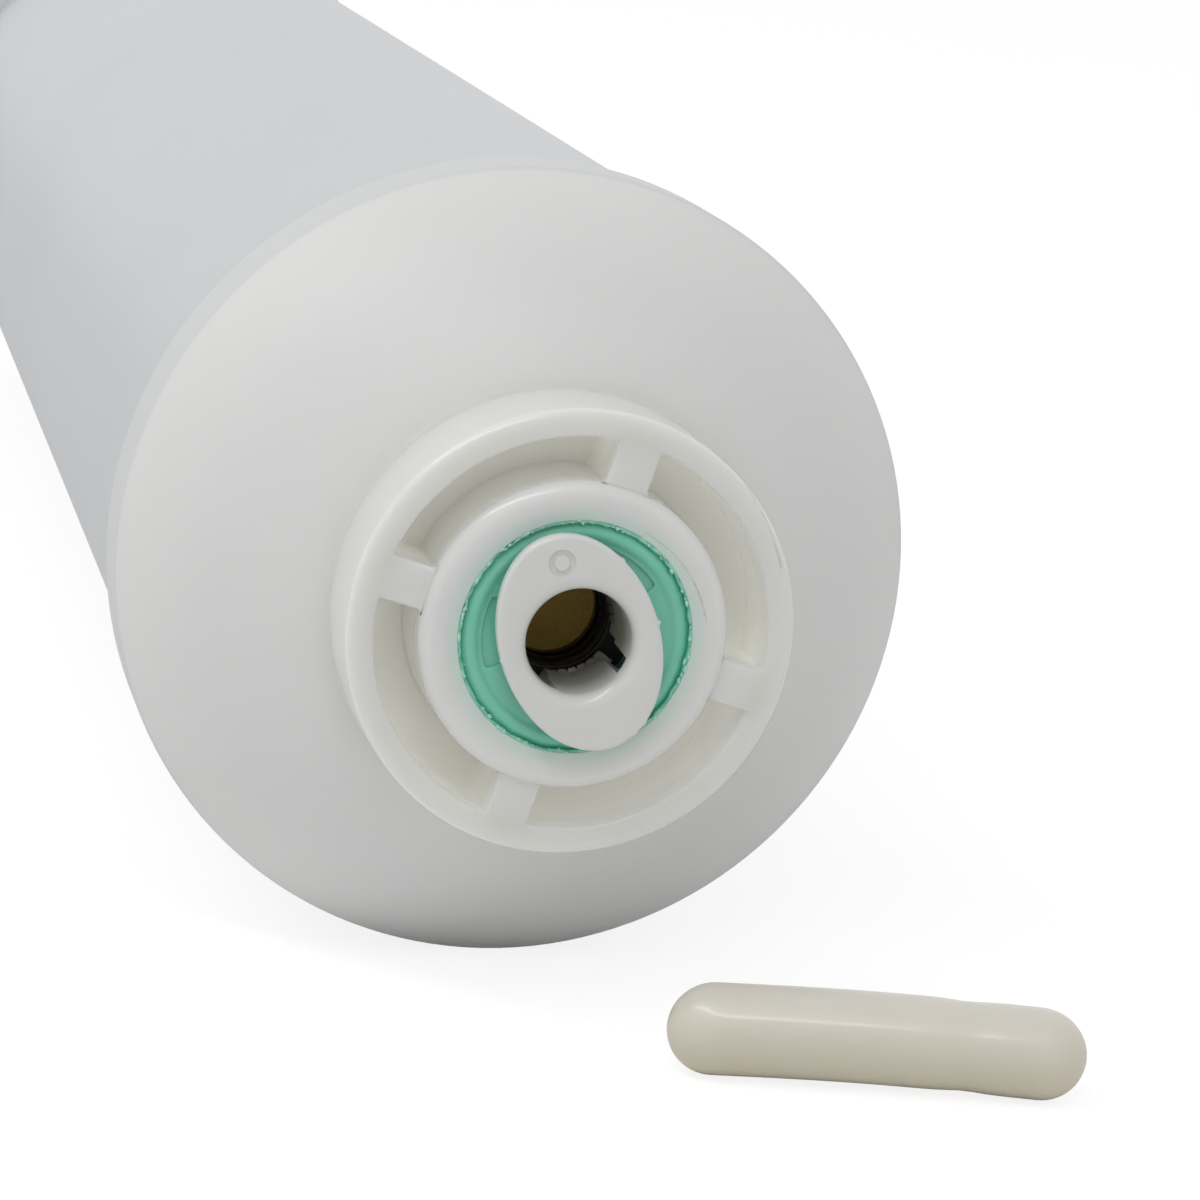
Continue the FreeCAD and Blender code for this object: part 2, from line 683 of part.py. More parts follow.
os.makedirs("parts", exist_ok=True)
for part in parts:
    part.Shape.exportStep(f"parts/{part.Label}.step")
    box = part.Shape.BoundBox
    print(
        f"{part.Label:22s} solids {len(part.Shape.Solids)} volume {part.Shape.Volume:10.1f} "
        f"x {box.XMin:7.2f} {box.XMax:7.2f} y {box.YMin:8.2f} {box.YMax:8.2f} "
        f"z {box.ZMin:7.2f} {box.ZMax:7.2f}"
   )
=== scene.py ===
import math
import random

import bmesh
import bpy
from mathutils import Matrix, Vector, noise


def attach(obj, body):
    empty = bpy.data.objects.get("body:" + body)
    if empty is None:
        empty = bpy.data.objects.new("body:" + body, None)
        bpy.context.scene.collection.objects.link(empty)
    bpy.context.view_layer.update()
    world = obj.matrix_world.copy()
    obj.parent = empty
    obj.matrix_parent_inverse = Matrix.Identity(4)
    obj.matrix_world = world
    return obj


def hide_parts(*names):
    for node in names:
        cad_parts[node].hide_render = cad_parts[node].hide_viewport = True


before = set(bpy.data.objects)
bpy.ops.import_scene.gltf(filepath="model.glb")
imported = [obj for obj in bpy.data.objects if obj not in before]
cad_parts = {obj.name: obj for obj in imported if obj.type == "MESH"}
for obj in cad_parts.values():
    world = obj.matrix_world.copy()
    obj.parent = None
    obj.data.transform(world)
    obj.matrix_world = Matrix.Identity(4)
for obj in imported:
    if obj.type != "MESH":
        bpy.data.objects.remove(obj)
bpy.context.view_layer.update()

# ---------------------------------------------------------------- housing tube
# Injection-moulded polypropylene tube, 50.8 mm across, with a flange at each end that
# carries the cap's weld. Smooth, cool white, with a soft satin sheen.

# All sizes are in millimetres, and levels count outwards from the back of the near rim.
MM = 0.001
RIM = 101.0  # from the middle of the tube to the back of each rim
TUBE_R, TUBE_BORE_R, RIM_R, FLANGE, TUBE_ROUND = 25.4, 22.9, 26.5, 2.1, 0.25
SKIN = 0.15  # of the cap's plastic, spread over the flange by the weld
ROUND_STEPS, TURN_STEPS, TUBE_STEPS = 3, 144, 192
SAME_SPOT = 0.001 * MM  # points closer than this are one point
CLOSE = 0.01  # a point within this many mm of a level or radius lies on it


def linear(colour):
    """An sRGB hex colour as linear RGBA."""
    parts = [int(colour[i:i + 2], 16) / 255 for i in (0, 2, 4)]
    return [c / 12.92 if c <= 0.04045 else ((c + 0.055) / 1.055) ** 2.4 for c in parts] + [1]


def add_node(tree, kind, inputs=None, **settings):
    """Adds a node; inputs gives a socket its value, or the socket that feeds it."""
    node = tree.nodes.new(kind)
    for name, setting in settings.items():
        setattr(node, name, setting)
    for key, feed in (inputs or {}).items():
        if isinstance(feed, bpy.types.NodeSocket):
            tree.links.new(feed, node.inputs[key])
        else:
            node.inputs[key].default_value = feed
    return node


def start_material(name, colour, **sockets):
    """A material with the values that hold all over set on the shader itself."""
    finish = bpy.data.materials.new(name)
    finish.use_nodes = True
    finish.diffuse_color = linear(colour)
    shader = finish.node_tree.nodes["Principled BSDF"]
    shader.inputs["Base Color"].default_value = linear(colour)
    for key, setting in sockets.items():
        shader.inputs[key.replace("_", " ")].default_value = setting
    return finish, finish.node_tree, shader


def place_on_axis(tree):
    """For a turned piece: coordinates, their parts, radius, and height from the middle."""
    where = add_node(tree, "ShaderNodeTexCoord").outputs["Object"]
    place = add_node(tree, "ShaderNodeSeparateXYZ", {0: where}).outputs
    flat = add_node(tree, "ShaderNodeCombineXYZ", {"X": place["X"], "Z": place["Z"]})
    radius = add_node(tree, "ShaderNodeVectorMath", {0: flat.outputs[0]}, operation="LENGTH")
    height = add_node(tree, "ShaderNodeMath", {0: place["Y"]}, operation="ABSOLUTE")
    return where, place, radius.outputs["Value"], height.outputs[0]


def choose(piece, part, wanted):
    """In edit mode, selects just the verts, edges or faces that wanted(element) picks."""
    kinds = {"verts": "VERT", "edges": "EDGE", "faces": "FACE"}
    bpy.ops.mesh.select_mode(type=kinds[part])
    bpy.ops.mesh.select_all(action="DESELECT")
    shape = bmesh.from_edit_mesh(piece.data)
    picked = [element for element in getattr(shape, part) if wanted(element)]
    for element in picked:
        element.select_set(True)
    shape.select_flush_mode()
    bmesh.update_edit_mesh(piece.data)
    return len(picked)


def draw_outline(name, corners):
    """Extrudes a point along corners of (radius, level, round), and closes the loop.

    Corners with a round are then bevelled, and the outline is left in edit mode.
    """
    bpy.ops.object.select_all(action="DESELECT")
    bpy.ops.mesh.primitive_plane_add(size=MM)
    piece = bpy.context.object
    piece.name = piece.data.name = name
    bpy.ops.object.mode_set(mode="EDIT")
    bpy.ops.mesh.select_mode(type="VERT")
    bpy.ops.mesh.merge(type="CENTER")
    places = [Vector((radius, -(RIM + level), 0)) * MM for radius, level, _ in corners]
    bpy.ops.transform.translate(value=places[0])
    for here, there in zip(places, places[1:]):
        bpy.ops.mesh.extrude_region_move(TRANSFORM_OT_translate={"value": there - here})
    ends = [places[0], places[-1]]
    choose(piece, "verts", lambda v: min((v.co - end).length for end in ends) < SAME_SPOT)
    bpy.ops.mesh.edge_face_add()
    for size in sorted({corner[2] for corner in corners if corner[2]}):
        spots = [place for place, corner in zip(places, corners) if corner[2] == size]
        choose(piece, "verts", lambda v: min((v.co - s).length for s in spots) < SAME_SPOT)
        bpy.ops.mesh.bevel(offset=size * MM, segments=ROUND_STEPS, affect="VERTICES")
    return piece


def turn(piece, steps=TURN_STEPS):
    """Spins the outline once round the Y axis."""
    bpy.ops.mesh.select_all(action="SELECT")
    bpy.ops.mesh.spin(steps=steps, angle=math.tau, center=(0, 0, 0), axis=(0, 1, 0))
    bpy.ops.mesh.select_all(action="SELECT")
    bpy.ops.mesh.remove_doubles(threshold=2 * SAME_SPOT)
    bpy.ops.mesh.delete_loose()
    bpy.ops.mesh.select_all(action="SELECT")
    bpy.ops.mesh.normals_make_consistent(inside=False)


def smooth_off(piece, finish, angle=38):
    """Smooths edges under an angle in degrees, keeps flats flat, and gives the finish."""
    bpy.ops.object.mode_set(mode="OBJECT")
    bpy.ops.object.select_all(action="DESELECT")
    bpy.context.view_layer.objects.active = piece
    piece.select_set(True)
    bpy.ops.object.shade_smooth_by_angle(angle=math.radians(angle))
    bpy.ops.object.modifier_add(type="WEIGHTED_NORMAL")
    piece.modifiers[-1].keep_sharp = True
    bpy.ops.object.modifier_apply(modifier=piece.modifiers[-1].name)
    piece.data.materials.clear()
    piece.data.materials.append(finish)


tube_white, tree, shader = start_material(
    "moulded_polypropylene_tube", "cfd1d3", Roughness=0.36, IOR=1.49,
    Subsurface_Weight=0.25, Subsurface_Scale=0.002,
)
shader.inputs["Subsurface Radius"].default_value = (1, 0.95, 0.9)
# Flow in the mould leaves broad, faint clouds, and the tool's polish a grain of 0.4 mm.
where, _, radius, _ = place_on_axis(tree)
clouds = add_node(tree, "ShaderNodeTexNoise", {
    "Vector": where, "Scale": 1 / (40 * MM), "Detail": 2}).outputs["Fac"]
tint = add_node(tree, "ShaderNodeMix", {
    "Factor": clouds, 6: linear("c1c2c5"), 7: linear("c9cbcd")}, data_type="RGBA").outputs[2]
# The weld has left the flanges as milky as the caps.
milky = add_node(tree, "ShaderNodeMapRange", {
    "Value": radius, "From Min": 25.6 * MM, "From Max": 26.1 * MM}).outputs[0]
tint = add_node(tree, "ShaderNodeMix", {
    "Factor": milky, 6: tint, 7: linear("d0d2d2")}, data_type="RGBA").outputs[2]
tree.links.new(tint, shader.inputs["Base Color"])
grain = add_node(tree, "ShaderNodeTexNoise", {
    "Vector": where, "Scale": 1 / (0.4 * MM), "Detail": 3}).outputs["Fac"]
relief = add_node(tree, "ShaderNodeBump", {
    "Height": grain, "Strength": 0.08, "Distance": 0.05 * MM})
tree.links.new(relief.outputs["Normal"], shader.inputs["Normal"])

far = -2 * RIM
flange_r = RIM_R - SKIN
tube = draw_outline("housing_tube_shell", [
    (TUBE_BORE_R, FLANGE, 0), (flange_r, FLANGE, 0), (flange_r, 0, TUBE_ROUND),
    (TUBE_R, 0, TUBE_ROUND), (TUBE_R, far, TUBE_ROUND), (flange_r, far, TUBE_ROUND),
    (flange_r, far - FLANGE, 0), (TUBE_BORE_R, far - FLANGE, 0),
])
turn(tube, TUBE_STEPS)
smooth_off(tube, tube_white)
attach(tube, "root")
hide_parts("housing_tube")

# ---------------------------------------------------------------- end caps
# Moulded natural-white polypropylene dome, spin-welded to the tube's flange. A ring and
# a boss stand on it with four ribs between them; the port's seats are bored in the boss.

SKIRT_FOOT, SKIRT_TOP, CROWN_R, HUB_R, HUB_TOP = 0.2, 5.2, 31.2, 14.15, 23.6
RING_R, BOSS_R, BOSS_TOP, BOSS_ROUND = 12.45, 9.75, 24.3, 0.8
SPIGOT_R, SPIGOT_BORE_R, SPIGOT_FOOT = 22.8, 21.2, -4
# The stepped bore: the radius of each seat, and the level that it goes down to.
CUP_SEAT_R, CUP_SEAT, WASHER_SEAT_R, WASHER_SEAT = 7.35, 18.6, 5.7, 17.95
GLAND_R, GLAND_SEAT, LEDGE_R, LEDGE_FOOT = 4.76, 16.2, 3.0, 15.6
PAD_SEAT_R, PAD_SEAT, GRID_SEAT_R, GRID_SEAT = 10.4, 12.6, 15.6, 11.6
# The round inside the dome: its middle, and the radius that it starts at.
KNEE_R, KNEE_LEVEL, KNEE_START_R = 14.68, 5.4, 16.7
POCKET_DEPTH, POCKET_ROUND, RIB_HALF = 5.6, 0.22, 1.375
RIBS, RIB_ANGLE, RIB_COLUMN = 4, -15.3, 7.5  # degrees: turn of the ribs, half a rib's flat
DOME_STEPS, SHOULDER_STEPS, KNEE_STEPS = 16, 6, 10
SHARP = math.radians(50)
# Start and end in degrees round the port, radius at each, half width, strength.
HAIR_LINES = [
    (45, 20, 14.1, 13.65, 0.05, 0.28), (27, 20, 13.75, 13.7, 0.08, 0.35),
    (61, 8, 7.72, 8.3, 0.05, 0.22), (30, 12, 8.05, 8.22, 0.06, 0.3),
]


def arc(centre_r, centre_level, radius, start_r, end_r, steps, side=1):
    """Corners along an arc between two radii, both ends included."""
    first = math.acos((start_r - centre_r) / radius) * side
    last = math.acos((end_r - centre_r) / radius) * side
    angles = [first + (last - first) * i / steps for i in range(steps + 1)]
    return [(centre_r + radius * math.cos(a), centre_level + radius * math.sin(a), 0)
            for a in angles]


def around_axis(point, count):
    """A point's angle about the port, in degrees from the middle of the nearest of count."""
    share = 360 / count
    return (math.degrees(math.atan2(point.z, point.x)) + share / 2) % share - share / 2


def off_axis(point):
    """How far a point lies from the port's axis, in mm."""
    return math.hypot(point.x, point.z) / MM


def level_of(point):
    """How far out a point of the near end lies from the back of the rim, in mm."""
    return -point.y / MM - RIM


cap_white, tree, shader = start_material(
    "moulded_polypropylene_cap", "dadbd9", Roughness=0.5, IOR=1.49,
    Subsurface_Weight=0.9, Subsurface_Scale=0.006,
)
shader.inputs["Subsurface Radius"].default_value = (1, 0.98, 0.95)
where, place, radius, height = place_on_axis(tree)
clouds = add_node(tree, "ShaderNodeTexNoise", {
    "Vector": where, "Scale": 1 / (18 * MM), "Detail": 3}).outputs["Fac"]
tint = add_node(tree, "ShaderNodeMix", {
    "Factor": clouds, 6: linear("dadbd9"), 7: linear("dfe0de")}, data_type="RGBA").outputs[2]
# Painted light: the pockets are painted a lighter, warmer tint against their shade, and a painted
# green glow lies round the boss's edge by the ring.
deep = add_node(tree, "ShaderNodeMapRange", {
    "Value": height, "From Min": (RIM + HUB_TOP) * MM, "From Max": (RIM + HUB_TOP - 3) * MM,
}, interpolation_type="SMOOTHSTEP").outputs[0]
near_ring = add_node(tree, "ShaderNodeMapRange", {
    "Value": radius, "From Min": 12.9 * MM, "From Max": 12.3 * MM}).outputs[0]
past_boss = add_node(tree, "ShaderNodeMapRange", {
    "Value": radius, "From Min": 9.3 * MM, "From Max": 9.9 * MM}).outputs[0]
pocket = add_node(tree, "ShaderNodeMath", {0: near_ring, 1: past_boss}, operation="MULTIPLY")
pocket = add_node(tree, "ShaderNodeMath", {
    0: pocket.outputs[0], 1: deep}, operation="MULTIPLY").outputs[0]
# Painted light: the pockets' lighter tint, against their shade.
tint = add_node(tree, "ShaderNodeMix", {
    "Factor": pocket, 6: tint, 7: linear("f2f1e9")}, data_type="RGBA").outputs[2]
# Painted light: a weak glow is painted into the pockets, for the daylight that the thin walls pass
# into them.
painted_pocket_glow = add_node(tree, "ShaderNodeMath", {0: pocket, 1: 0.07}, operation="MULTIPLY").outputs[0]
shader.inputs["Emission Color"].default_value = linear("f7f6ee")
tree.links.new(painted_pocket_glow, shader.inputs["Emission Strength"])
# Painted light: a green glow is painted round the boss's edge, for the light that the green ring
# sends through it.
painted_green_glow = add_node(tree, "ShaderNodeMapRange", {
    "Value": radius, "From Min": 8.7 * MM, "From Max": 7.3 * MM, "To Max": 0.42,
}, interpolation_type="SMOOTHERSTEP").outputs[0]
tint = add_node(tree, "ShaderNodeMix", {
    "Factor": painted_green_glow, 6: tint, 7: linear("b4dccd")}, data_type="RGBA").outputs[2]
# Painted shade: the face of ring and ribs is painted a shade darker, and the skirt by the weld is
# cooler.
face = add_node(tree, "ShaderNodeMapRange", {
    "Value": height, "From Min": (RIM + HUB_TOP - 0.3) * MM,
    "From Max": (RIM + HUB_TOP - 0.05) * MM}).outputs[0]
ring = add_node(tree, "ShaderNodeMapRange", {
    "Value": radius, "From Min": 9.8 * MM, "From Max": 12.6 * MM}).outputs[0]
face = add_node(tree, "ShaderNodeMath", {0: face, 1: ring}, operation="MULTIPLY").outputs[0]
tint = add_node(tree, "ShaderNodeMix", {
    "Factor": face, 6: tint, 7: linear("cdcdc9")}, data_type="RGBA").outputs[2]
skirt = add_node(tree, "ShaderNodeMapRange", {
    "Value": radius, "From Min": 26.25 * MM, "From Max": 26.45 * MM}).outputs[0]
tint = add_node(tree, "ShaderNodeMix", {
    "Factor": skirt, 6: tint, 7: linear("d2d4d3")}, data_type="RGBA").outputs[2]
# Painted shade: the ledge at the foot of the bore is painted near black, for the deep shade down
# the port.
painted_ledge_shade = add_node(tree, "ShaderNodeMapRange", {
    "Value": radius, "From Min": 3.9 * MM, "From Max": 3.4 * MM}).outputs[0]
tint = add_node(tree, "ShaderNodeMix", {
    "Factor": painted_ledge_shade, 6: tint, 7: linear("1f1a12")}, data_type="RGBA").outputs[2]
# Handling has drawn a few hair-lines of dirt along the edges of the near end.
bearing = add_node(tree, "ShaderNodeMath", {
    0: place["Z"], 1: place["X"]}, operation="ARCTAN2").outputs[0]
speckle = add_node(tree, "ShaderNodeTexNoise", {
    "Vector": where, "Scale": 1 / (0.5 * MM), "Detail": 4}).outputs["Fac"]
speckle = add_node(tree, "ShaderNodeMapRange", {
    "Value": speckle, "From Min": 0.4, "From Max": 0.65, "To Min": 0.35}).outputs[0]
outward = add_node(tree, "ShaderNodeMath", {
    0: place["Y"], 1: -(RIM + 22) * MM}, operation="LESS_THAN").outputs[0]
for start, end, start_r, end_r, width, strength in HAIR_LINES:
    path = add_node(tree, "ShaderNodeMapRange", {
        "Value": bearing, "From Min": math.radians(start), "From Max": math.radians(end),
        "To Min": start_r * MM, "To Max": end_r * MM}).outputs[0]
    mark = add_node(tree, "ShaderNodeMath", {
        0: radius, 1: path, 2: width * MM}, operation="COMPARE").outputs[0]
    span = add_node(tree, "ShaderNodeMath", {
        0: bearing, 1: math.radians((start + end) / 2), 2: math.radians(abs(end - start) / 2),
    }, operation="COMPARE").outputs[0]
    for part in (span, speckle, outward, strength):
        mark = add_node(tree, "ShaderNodeMath", {
            0: mark, 1: part}, operation="MULTIPLY").outputs[0]
    tint = add_node(tree, "ShaderNodeMix", {
        "Factor": mark, 6: tint, 7: linear("6f675a")}, data_type="RGBA").outputs[2]
tree.links.new(tint, shader.inputs["Base Color"])
# The hub came off a polished insert, and the pockets and the dome off blasted ones.
polish = add_node(tree, "ShaderNodeMapRange", {
    "Value": radius, "From Min": (HUB_R + 0.02) * MM, "From Max": (HUB_R + 0.15) * MM,
    "To Min": 0.2, "To Max": 0.5}).outputs[0]
polish = add_node(tree, "ShaderNodeMath", {
    0: pocket, 1: 0.25, 2: polish}, operation="MULTIPLY_ADD").outputs[0]
tree.links.new(polish, shader.inputs["Roughness"])
# Little light gets under the surface beside the port and in the thin skin at the weld.
by_port = add_node(tree, "ShaderNodeMapRange", {
    "Value": radius, "From Min": 7.3 * MM, "From Max": 9.2 * MM,
    "To Min": 0.15, "To Max": 0.9}).outputs[0]
by_weld = add_node(tree, "ShaderNodeMapRange", {
    "Value": radius, "From Min": 25.2 * MM, "From Max": 26.3 * MM,
    "To Min": 0.9, "To Max": 0.0}).outputs[0]
depth = add_node(tree, "ShaderNodeMath", {
    0: by_port, 1: by_weld}, operation="MINIMUM").outputs[0]
tree.links.new(depth, shader.inputs["Subsurface Weight"])
grain = add_node(tree, "ShaderNodeTexNoise", {
    "Vector": where, "Scale": 1 / (0.35 * MM), "Detail": 3}).outputs["Fac"]
relief = add_node(tree, "ShaderNodeBump", {
    "Height": grain, "Strength": 0.12, "Distance": 0.05 * MM})
tree.links.new(relief.outputs["Normal"], shader.inputs["Normal"])

crown = SKIRT_TOP - math.sqrt(CROWN_R ** 2 - RIM_R ** 2)
dome = arc(0, crown, CROWN_R, RIM_R, HUB_R, DOME_STEPS)
dome[0] = (*dome[0][:2], 0.25)
dome[-1] = (*dome[-1][:2], 0.4)
round_r, round_level = BOSS_R - BOSS_ROUND, BOSS_TOP - BOSS_ROUND
shoulder_foot = round_r + math.sqrt(BOSS_ROUND ** 2 - (HUB_TOP - BOSS_TOP + BOSS_ROUND) ** 2)
shoulder = arc(round_r, round_level, BOSS_ROUND, shoulder_foot, round_r, SHOULDER_STEPS)
knee = arc(KNEE_R, KNEE_LEVEL, SPIGOT_BORE_R - KNEE_R, KNEE_START_R, SPIGOT_BORE_R, KNEE_STEPS)
front_cap = draw_outline("front_cap_shell", [
    (SPIGOT_R, SPIGOT_FOOT, 0.3), (SPIGOT_R, FLANGE, 0), (flange_r, FLANGE, 0),
    (flange_r, SKIRT_FOOT, 0), (RIM_R, SKIRT_FOOT, 0.1), *dome, (HUB_R, HUB_TOP, 0.5),
    (RING_R, HUB_TOP, 0), *shoulder, (CUP_SEAT_R, BOSS_TOP, 0.1), (CUP_SEAT_R, CUP_SEAT, 0),
    (WASHER_SEAT_R, CUP_SEAT, 0), (WASHER_SEAT_R, WASHER_SEAT, 0), (GLAND_R, WASHER_SEAT, 0),
    (GLAND_R, GLAND_SEAT, 0), (LEDGE_R, GLAND_SEAT, 0), (LEDGE_R, LEDGE_FOOT, 0),
    (PAD_SEAT_R, LEDGE_FOOT, 0), (PAD_SEAT_R, PAD_SEAT, 0), (GRID_SEAT_R, PAD_SEAT, 0),
    (GRID_SEAT_R, GRID_SEAT, 0), *knee, (SPIGOT_BORE_R, SPIGOT_FOOT, 0.3),
])
turn(front_cap)

# The walls of each pocket follow the straight sides of the ribs before it is sunk.
shape = bmesh.from_edit_mesh(front_cap.data)
for vert in shape.verts:
    r, turned = off_axis(vert.co), around_axis(vert.co, RIBS)
    on_rows = min(abs(r - RING_R), abs(r - shoulder_foot)) < CLOSE
    on_flat = abs(level_of(vert.co) - HUB_TOP) < CLOSE
    if on_rows and on_flat and abs(abs(turned) - RIB_COLUMN) < 0.1:
        side = math.copysign(math.degrees(math.asin(RIB_HALF / r)), turned)
        shift = math.radians(side - turned)
        vert.co = Matrix.Rotation(-shift, 3, "Y") @ vert.co
bmesh.update_edit_mesh(front_cap.data)


def over_pocket(face):
    """Is the face part of the flat between two ribs?"""
    middle = face.calc_center_median()
    on_flat = abs(level_of(middle) - HUB_TOP) < CLOSE
    in_ring = shoulder_foot < off_axis(middle) < RING_R
    return on_flat and in_ring and abs(around_axis(middle, RIBS)) > RIB_COLUMN


def pocket_edge(edge):
    """Is it a sharp edge of a pocket's mouth, floor or corner?"""
    middle = (edge.verts[0].co + edge.verts[1].co) / 2
    above_floor = level_of(middle) > HUB_TOP - POCKET_DEPTH - 0.1
    inside = above_floor and shoulder_foot - 0.1 < off_axis(middle) < RING_R + 0.1
    return inside and len(edge.link_faces) == 2 and edge.calc_face_angle() > SHARP


choose(front_cap, "faces", over_pocket)
bpy.ops.mesh.extrude_region_move(TRANSFORM_OT_translate={"value": (0, POCKET_DEPTH * MM, 0)})
choose(front_cap, "edges", pocket_edge)
bpy.ops.mesh.bevel(offset=POCKET_ROUND * MM, segments=ROUND_STEPS, affect="EDGES")
smooth_off(front_cap, cap_white)
front_cap.data.transform(Matrix.Rotation(math.radians(-RIB_ANGLE), 4, "Y"))


def other_end(piece, name):
    """The same moulding at the far end: a copy turned half round the X axis."""
    twin = piece.copy()
    twin.name = name
    twin.data = piece.data.copy()
    twin.data.name = name
    bpy.context.collection.objects.link(twin)
    twin.data.transform(Matrix.Rotation(math.pi, 4, "X"))
    return twin


rear_cap = other_end(front_cap, "rear_cap_shell")
for cap, node in ((front_cap, "front_end_cap"), (rear_cap, "rear_end_cap")):
    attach(cap, "root")
    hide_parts(node)

# ---------------------------------------------------------------- cartridges
# Mint-green acetal cup welded into the boss; it holds the collet in. A melted bead runs
# round its edge, and three shallow panels are moulded into its face.

CUP_R, CUP_FACE, BEAD_OUT, BEAD_IN, BEAD_RISE, BEAD_STEPS = 7.3, 24.15, 7.02, 6.0, 0.2, 8
MOUTH_R, CUP_BORE_R, CONE_TOP, CONE_FOOT = 4.45, 5.15, 22.9, 21.3
PANELS, PANEL_ANGLE, PANEL_HALF = 3, 178.5, 24  # degrees: turn, and half of a panel
PANEL_IN, PANEL_OUT, PANEL_DEPTH, PANEL_ROUND, CUP_STEPS = 4.7, 5.9, 0.2, 0.5, 120

cup_green, tree, shader = start_material(
    "moulded_acetal_cartridge", "76c6ad", Roughness=0.2, IOR=1.48,
    Subsurface_Weight=0.3, Subsurface_Scale=0.0015,
)
shader.inputs["Subsurface Radius"].default_value = (0.5, 1, 0.8)
# Glossy mint plastic, a little cloudy with flow, and painted darker in the groove by the weld, as
# painted shade.
where, _, radius, _ = place_on_axis(tree)
clouds = add_node(tree, "ShaderNodeTexNoise", {
    "Vector": where, "Scale": 1 / (4 * MM), "Detail": 3}).outputs["Fac"]
tint = add_node(tree, "ShaderNodeMix", {
    "Factor": clouds, 6: linear("6fc1a7"), 7: linear("7ccbb3")}, data_type="RGBA").outputs[2]
painted_groove_shade = add_node(tree, "ShaderNodeMapRange", {
    "Value": radius, "From Min": 6.8 * MM, "From Max": 7.1 * MM}).outputs[0]
tint = add_node(tree, "ShaderNodeMix", {
    "Factor": painted_groove_shade, 6: tint, 7: linear("4cb391")}, data_type="RGBA").outputs[2]
tree.links.new(tint, shader.inputs["Base Color"])
grain = add_node(tree, "ShaderNodeTexNoise", {
    "Vector": where, "Scale": 1 / (0.5 * MM), "Detail": 4}).outputs["Fac"]
relief = add_node(tree, "ShaderNodeBump", {
    "Height": grain, "Strength": 0.25, "Distance": 0.06 * MM})
tree.links.new(relief.outputs["Normal"], shader.inputs["Normal"])

bead = [(BEAD_OUT - (BEAD_OUT - BEAD_IN) * i / BEAD_STEPS,
         CUP_FACE - 0.05 + BEAD_RISE * math.sin(math.pi * i / BEAD_STEPS), 0)
        for i in range(BEAD_STEPS)]
front_cup = draw_outline("front_cartridge_cup", [
    (MOUTH_R, CUP_FACE, 0.15), (MOUTH_R, CONE_TOP, 0), (CUP_BORE_R, CONE_FOOT, 0),
    (CUP_BORE_R, CUP_SEAT, 0), (CUP_R, CUP_SEAT, 0), (CUP_R, CUP_FACE - 0.1, 0), *bead,
    (BEAD_IN, CUP_FACE, 0), (PANEL_OUT, CUP_FACE, 0), (PANEL_IN, CUP_FACE, 0),
])
turn(front_cup, CUP_STEPS)


def over_panel(face):
    """Is the face in one of the three panels?"""
    middle = face.calc_center_median()
    on_face = level_of(middle) > CUP_FACE - 0.15 and PANEL_IN < off_axis(middle) < PANEL_OUT
    return on_face and abs(around_axis(middle, PANELS)) < PANEL_HALF


def panel_corner(edge):
    """Is it an upright edge at an outer corner of a panel?"""
    low, high = sorted(edge.verts, key=lambda v: level_of(v.co))
    on_rim = abs(off_axis(low.co) - PANEL_OUT) < 2 * CLOSE
    upright = off_axis(low.co - high.co) < CLOSE and on_rim
    return upright and len(edge.link_faces) == 2 and edge.calc_face_angle() > SHARP


choose(front_cup, "faces", over_panel)
bpy.ops.mesh.extrude_region_move(TRANSFORM_OT_translate={"value": (0, PANEL_DEPTH * MM, 0)})
choose(front_cup, "edges", panel_corner)
bpy.ops.mesh.bevel(offset=PANEL_ROUND * MM, segments=4, affect="EDGES")
bpy.ops.mesh.select_all(action="SELECT")
bpy.ops.mesh.dissolve_degenerate(threshold=SAME_SPOT)
smooth_off(front_cup, cup_green)
front_cup.data.transform(Matrix.Rotation(math.radians(-PANEL_ANGLE), 4, "Y"))
rear_cup = other_end(front_cup, "rear_cartridge_cup")

# The weld squeezed a ring of melted plastic out between cup and boss, with crumbs on it.
FLASH_R, FLASH_LEVEL, FLASH_CORD, CRUMBS, CRUMB_R = 7.27, 24.16, 0.13, 90, 7.26
FLASH_STEPS, FLASH_CORD_STEPS = 540, 14
# How it strays and swells on its way round: the height and the rate of each wave.
WANDER, SWELL = ((0.09, 7), (0.08, 21)), ((0.5, 11), (0.3, 27))
bpy.ops.object.select_all(action="DESELECT")
bpy.ops.mesh.primitive_torus_add(
    major_radius=FLASH_R * MM, minor_radius=FLASH_CORD * MM, major_segments=FLASH_STEPS,
    minor_segments=FLASH_CORD_STEPS, rotation=(math.pi / 2, 0, 0),
    location=(0, -(RIM + FLASH_LEVEL) * MM, 0))
bpy.ops.object.transform_apply(location=True, rotation=True, scale=True)
flash = bpy.context.object
for vert in flash.data.vertices:
    at = Vector((vert.co.x, vert.co.z, 0)).normalized()
    wander = sum(size * noise.noise(at * rate) for size, rate in WANDER)
    swell = sum((size * noise.noise(at * rate) for size, rate in SWELL), 1)
    r = FLASH_R + wander + (off_axis(vert.co) - FLASH_R) * swell
    level = FLASH_LEVEL + (level_of(vert.co) - FLASH_LEVEL) * swell
    vert.co = Vector((at.x * r, -(RIM + level), at.y * r)) * MM
random.seed(7)
crumbs = [flash]
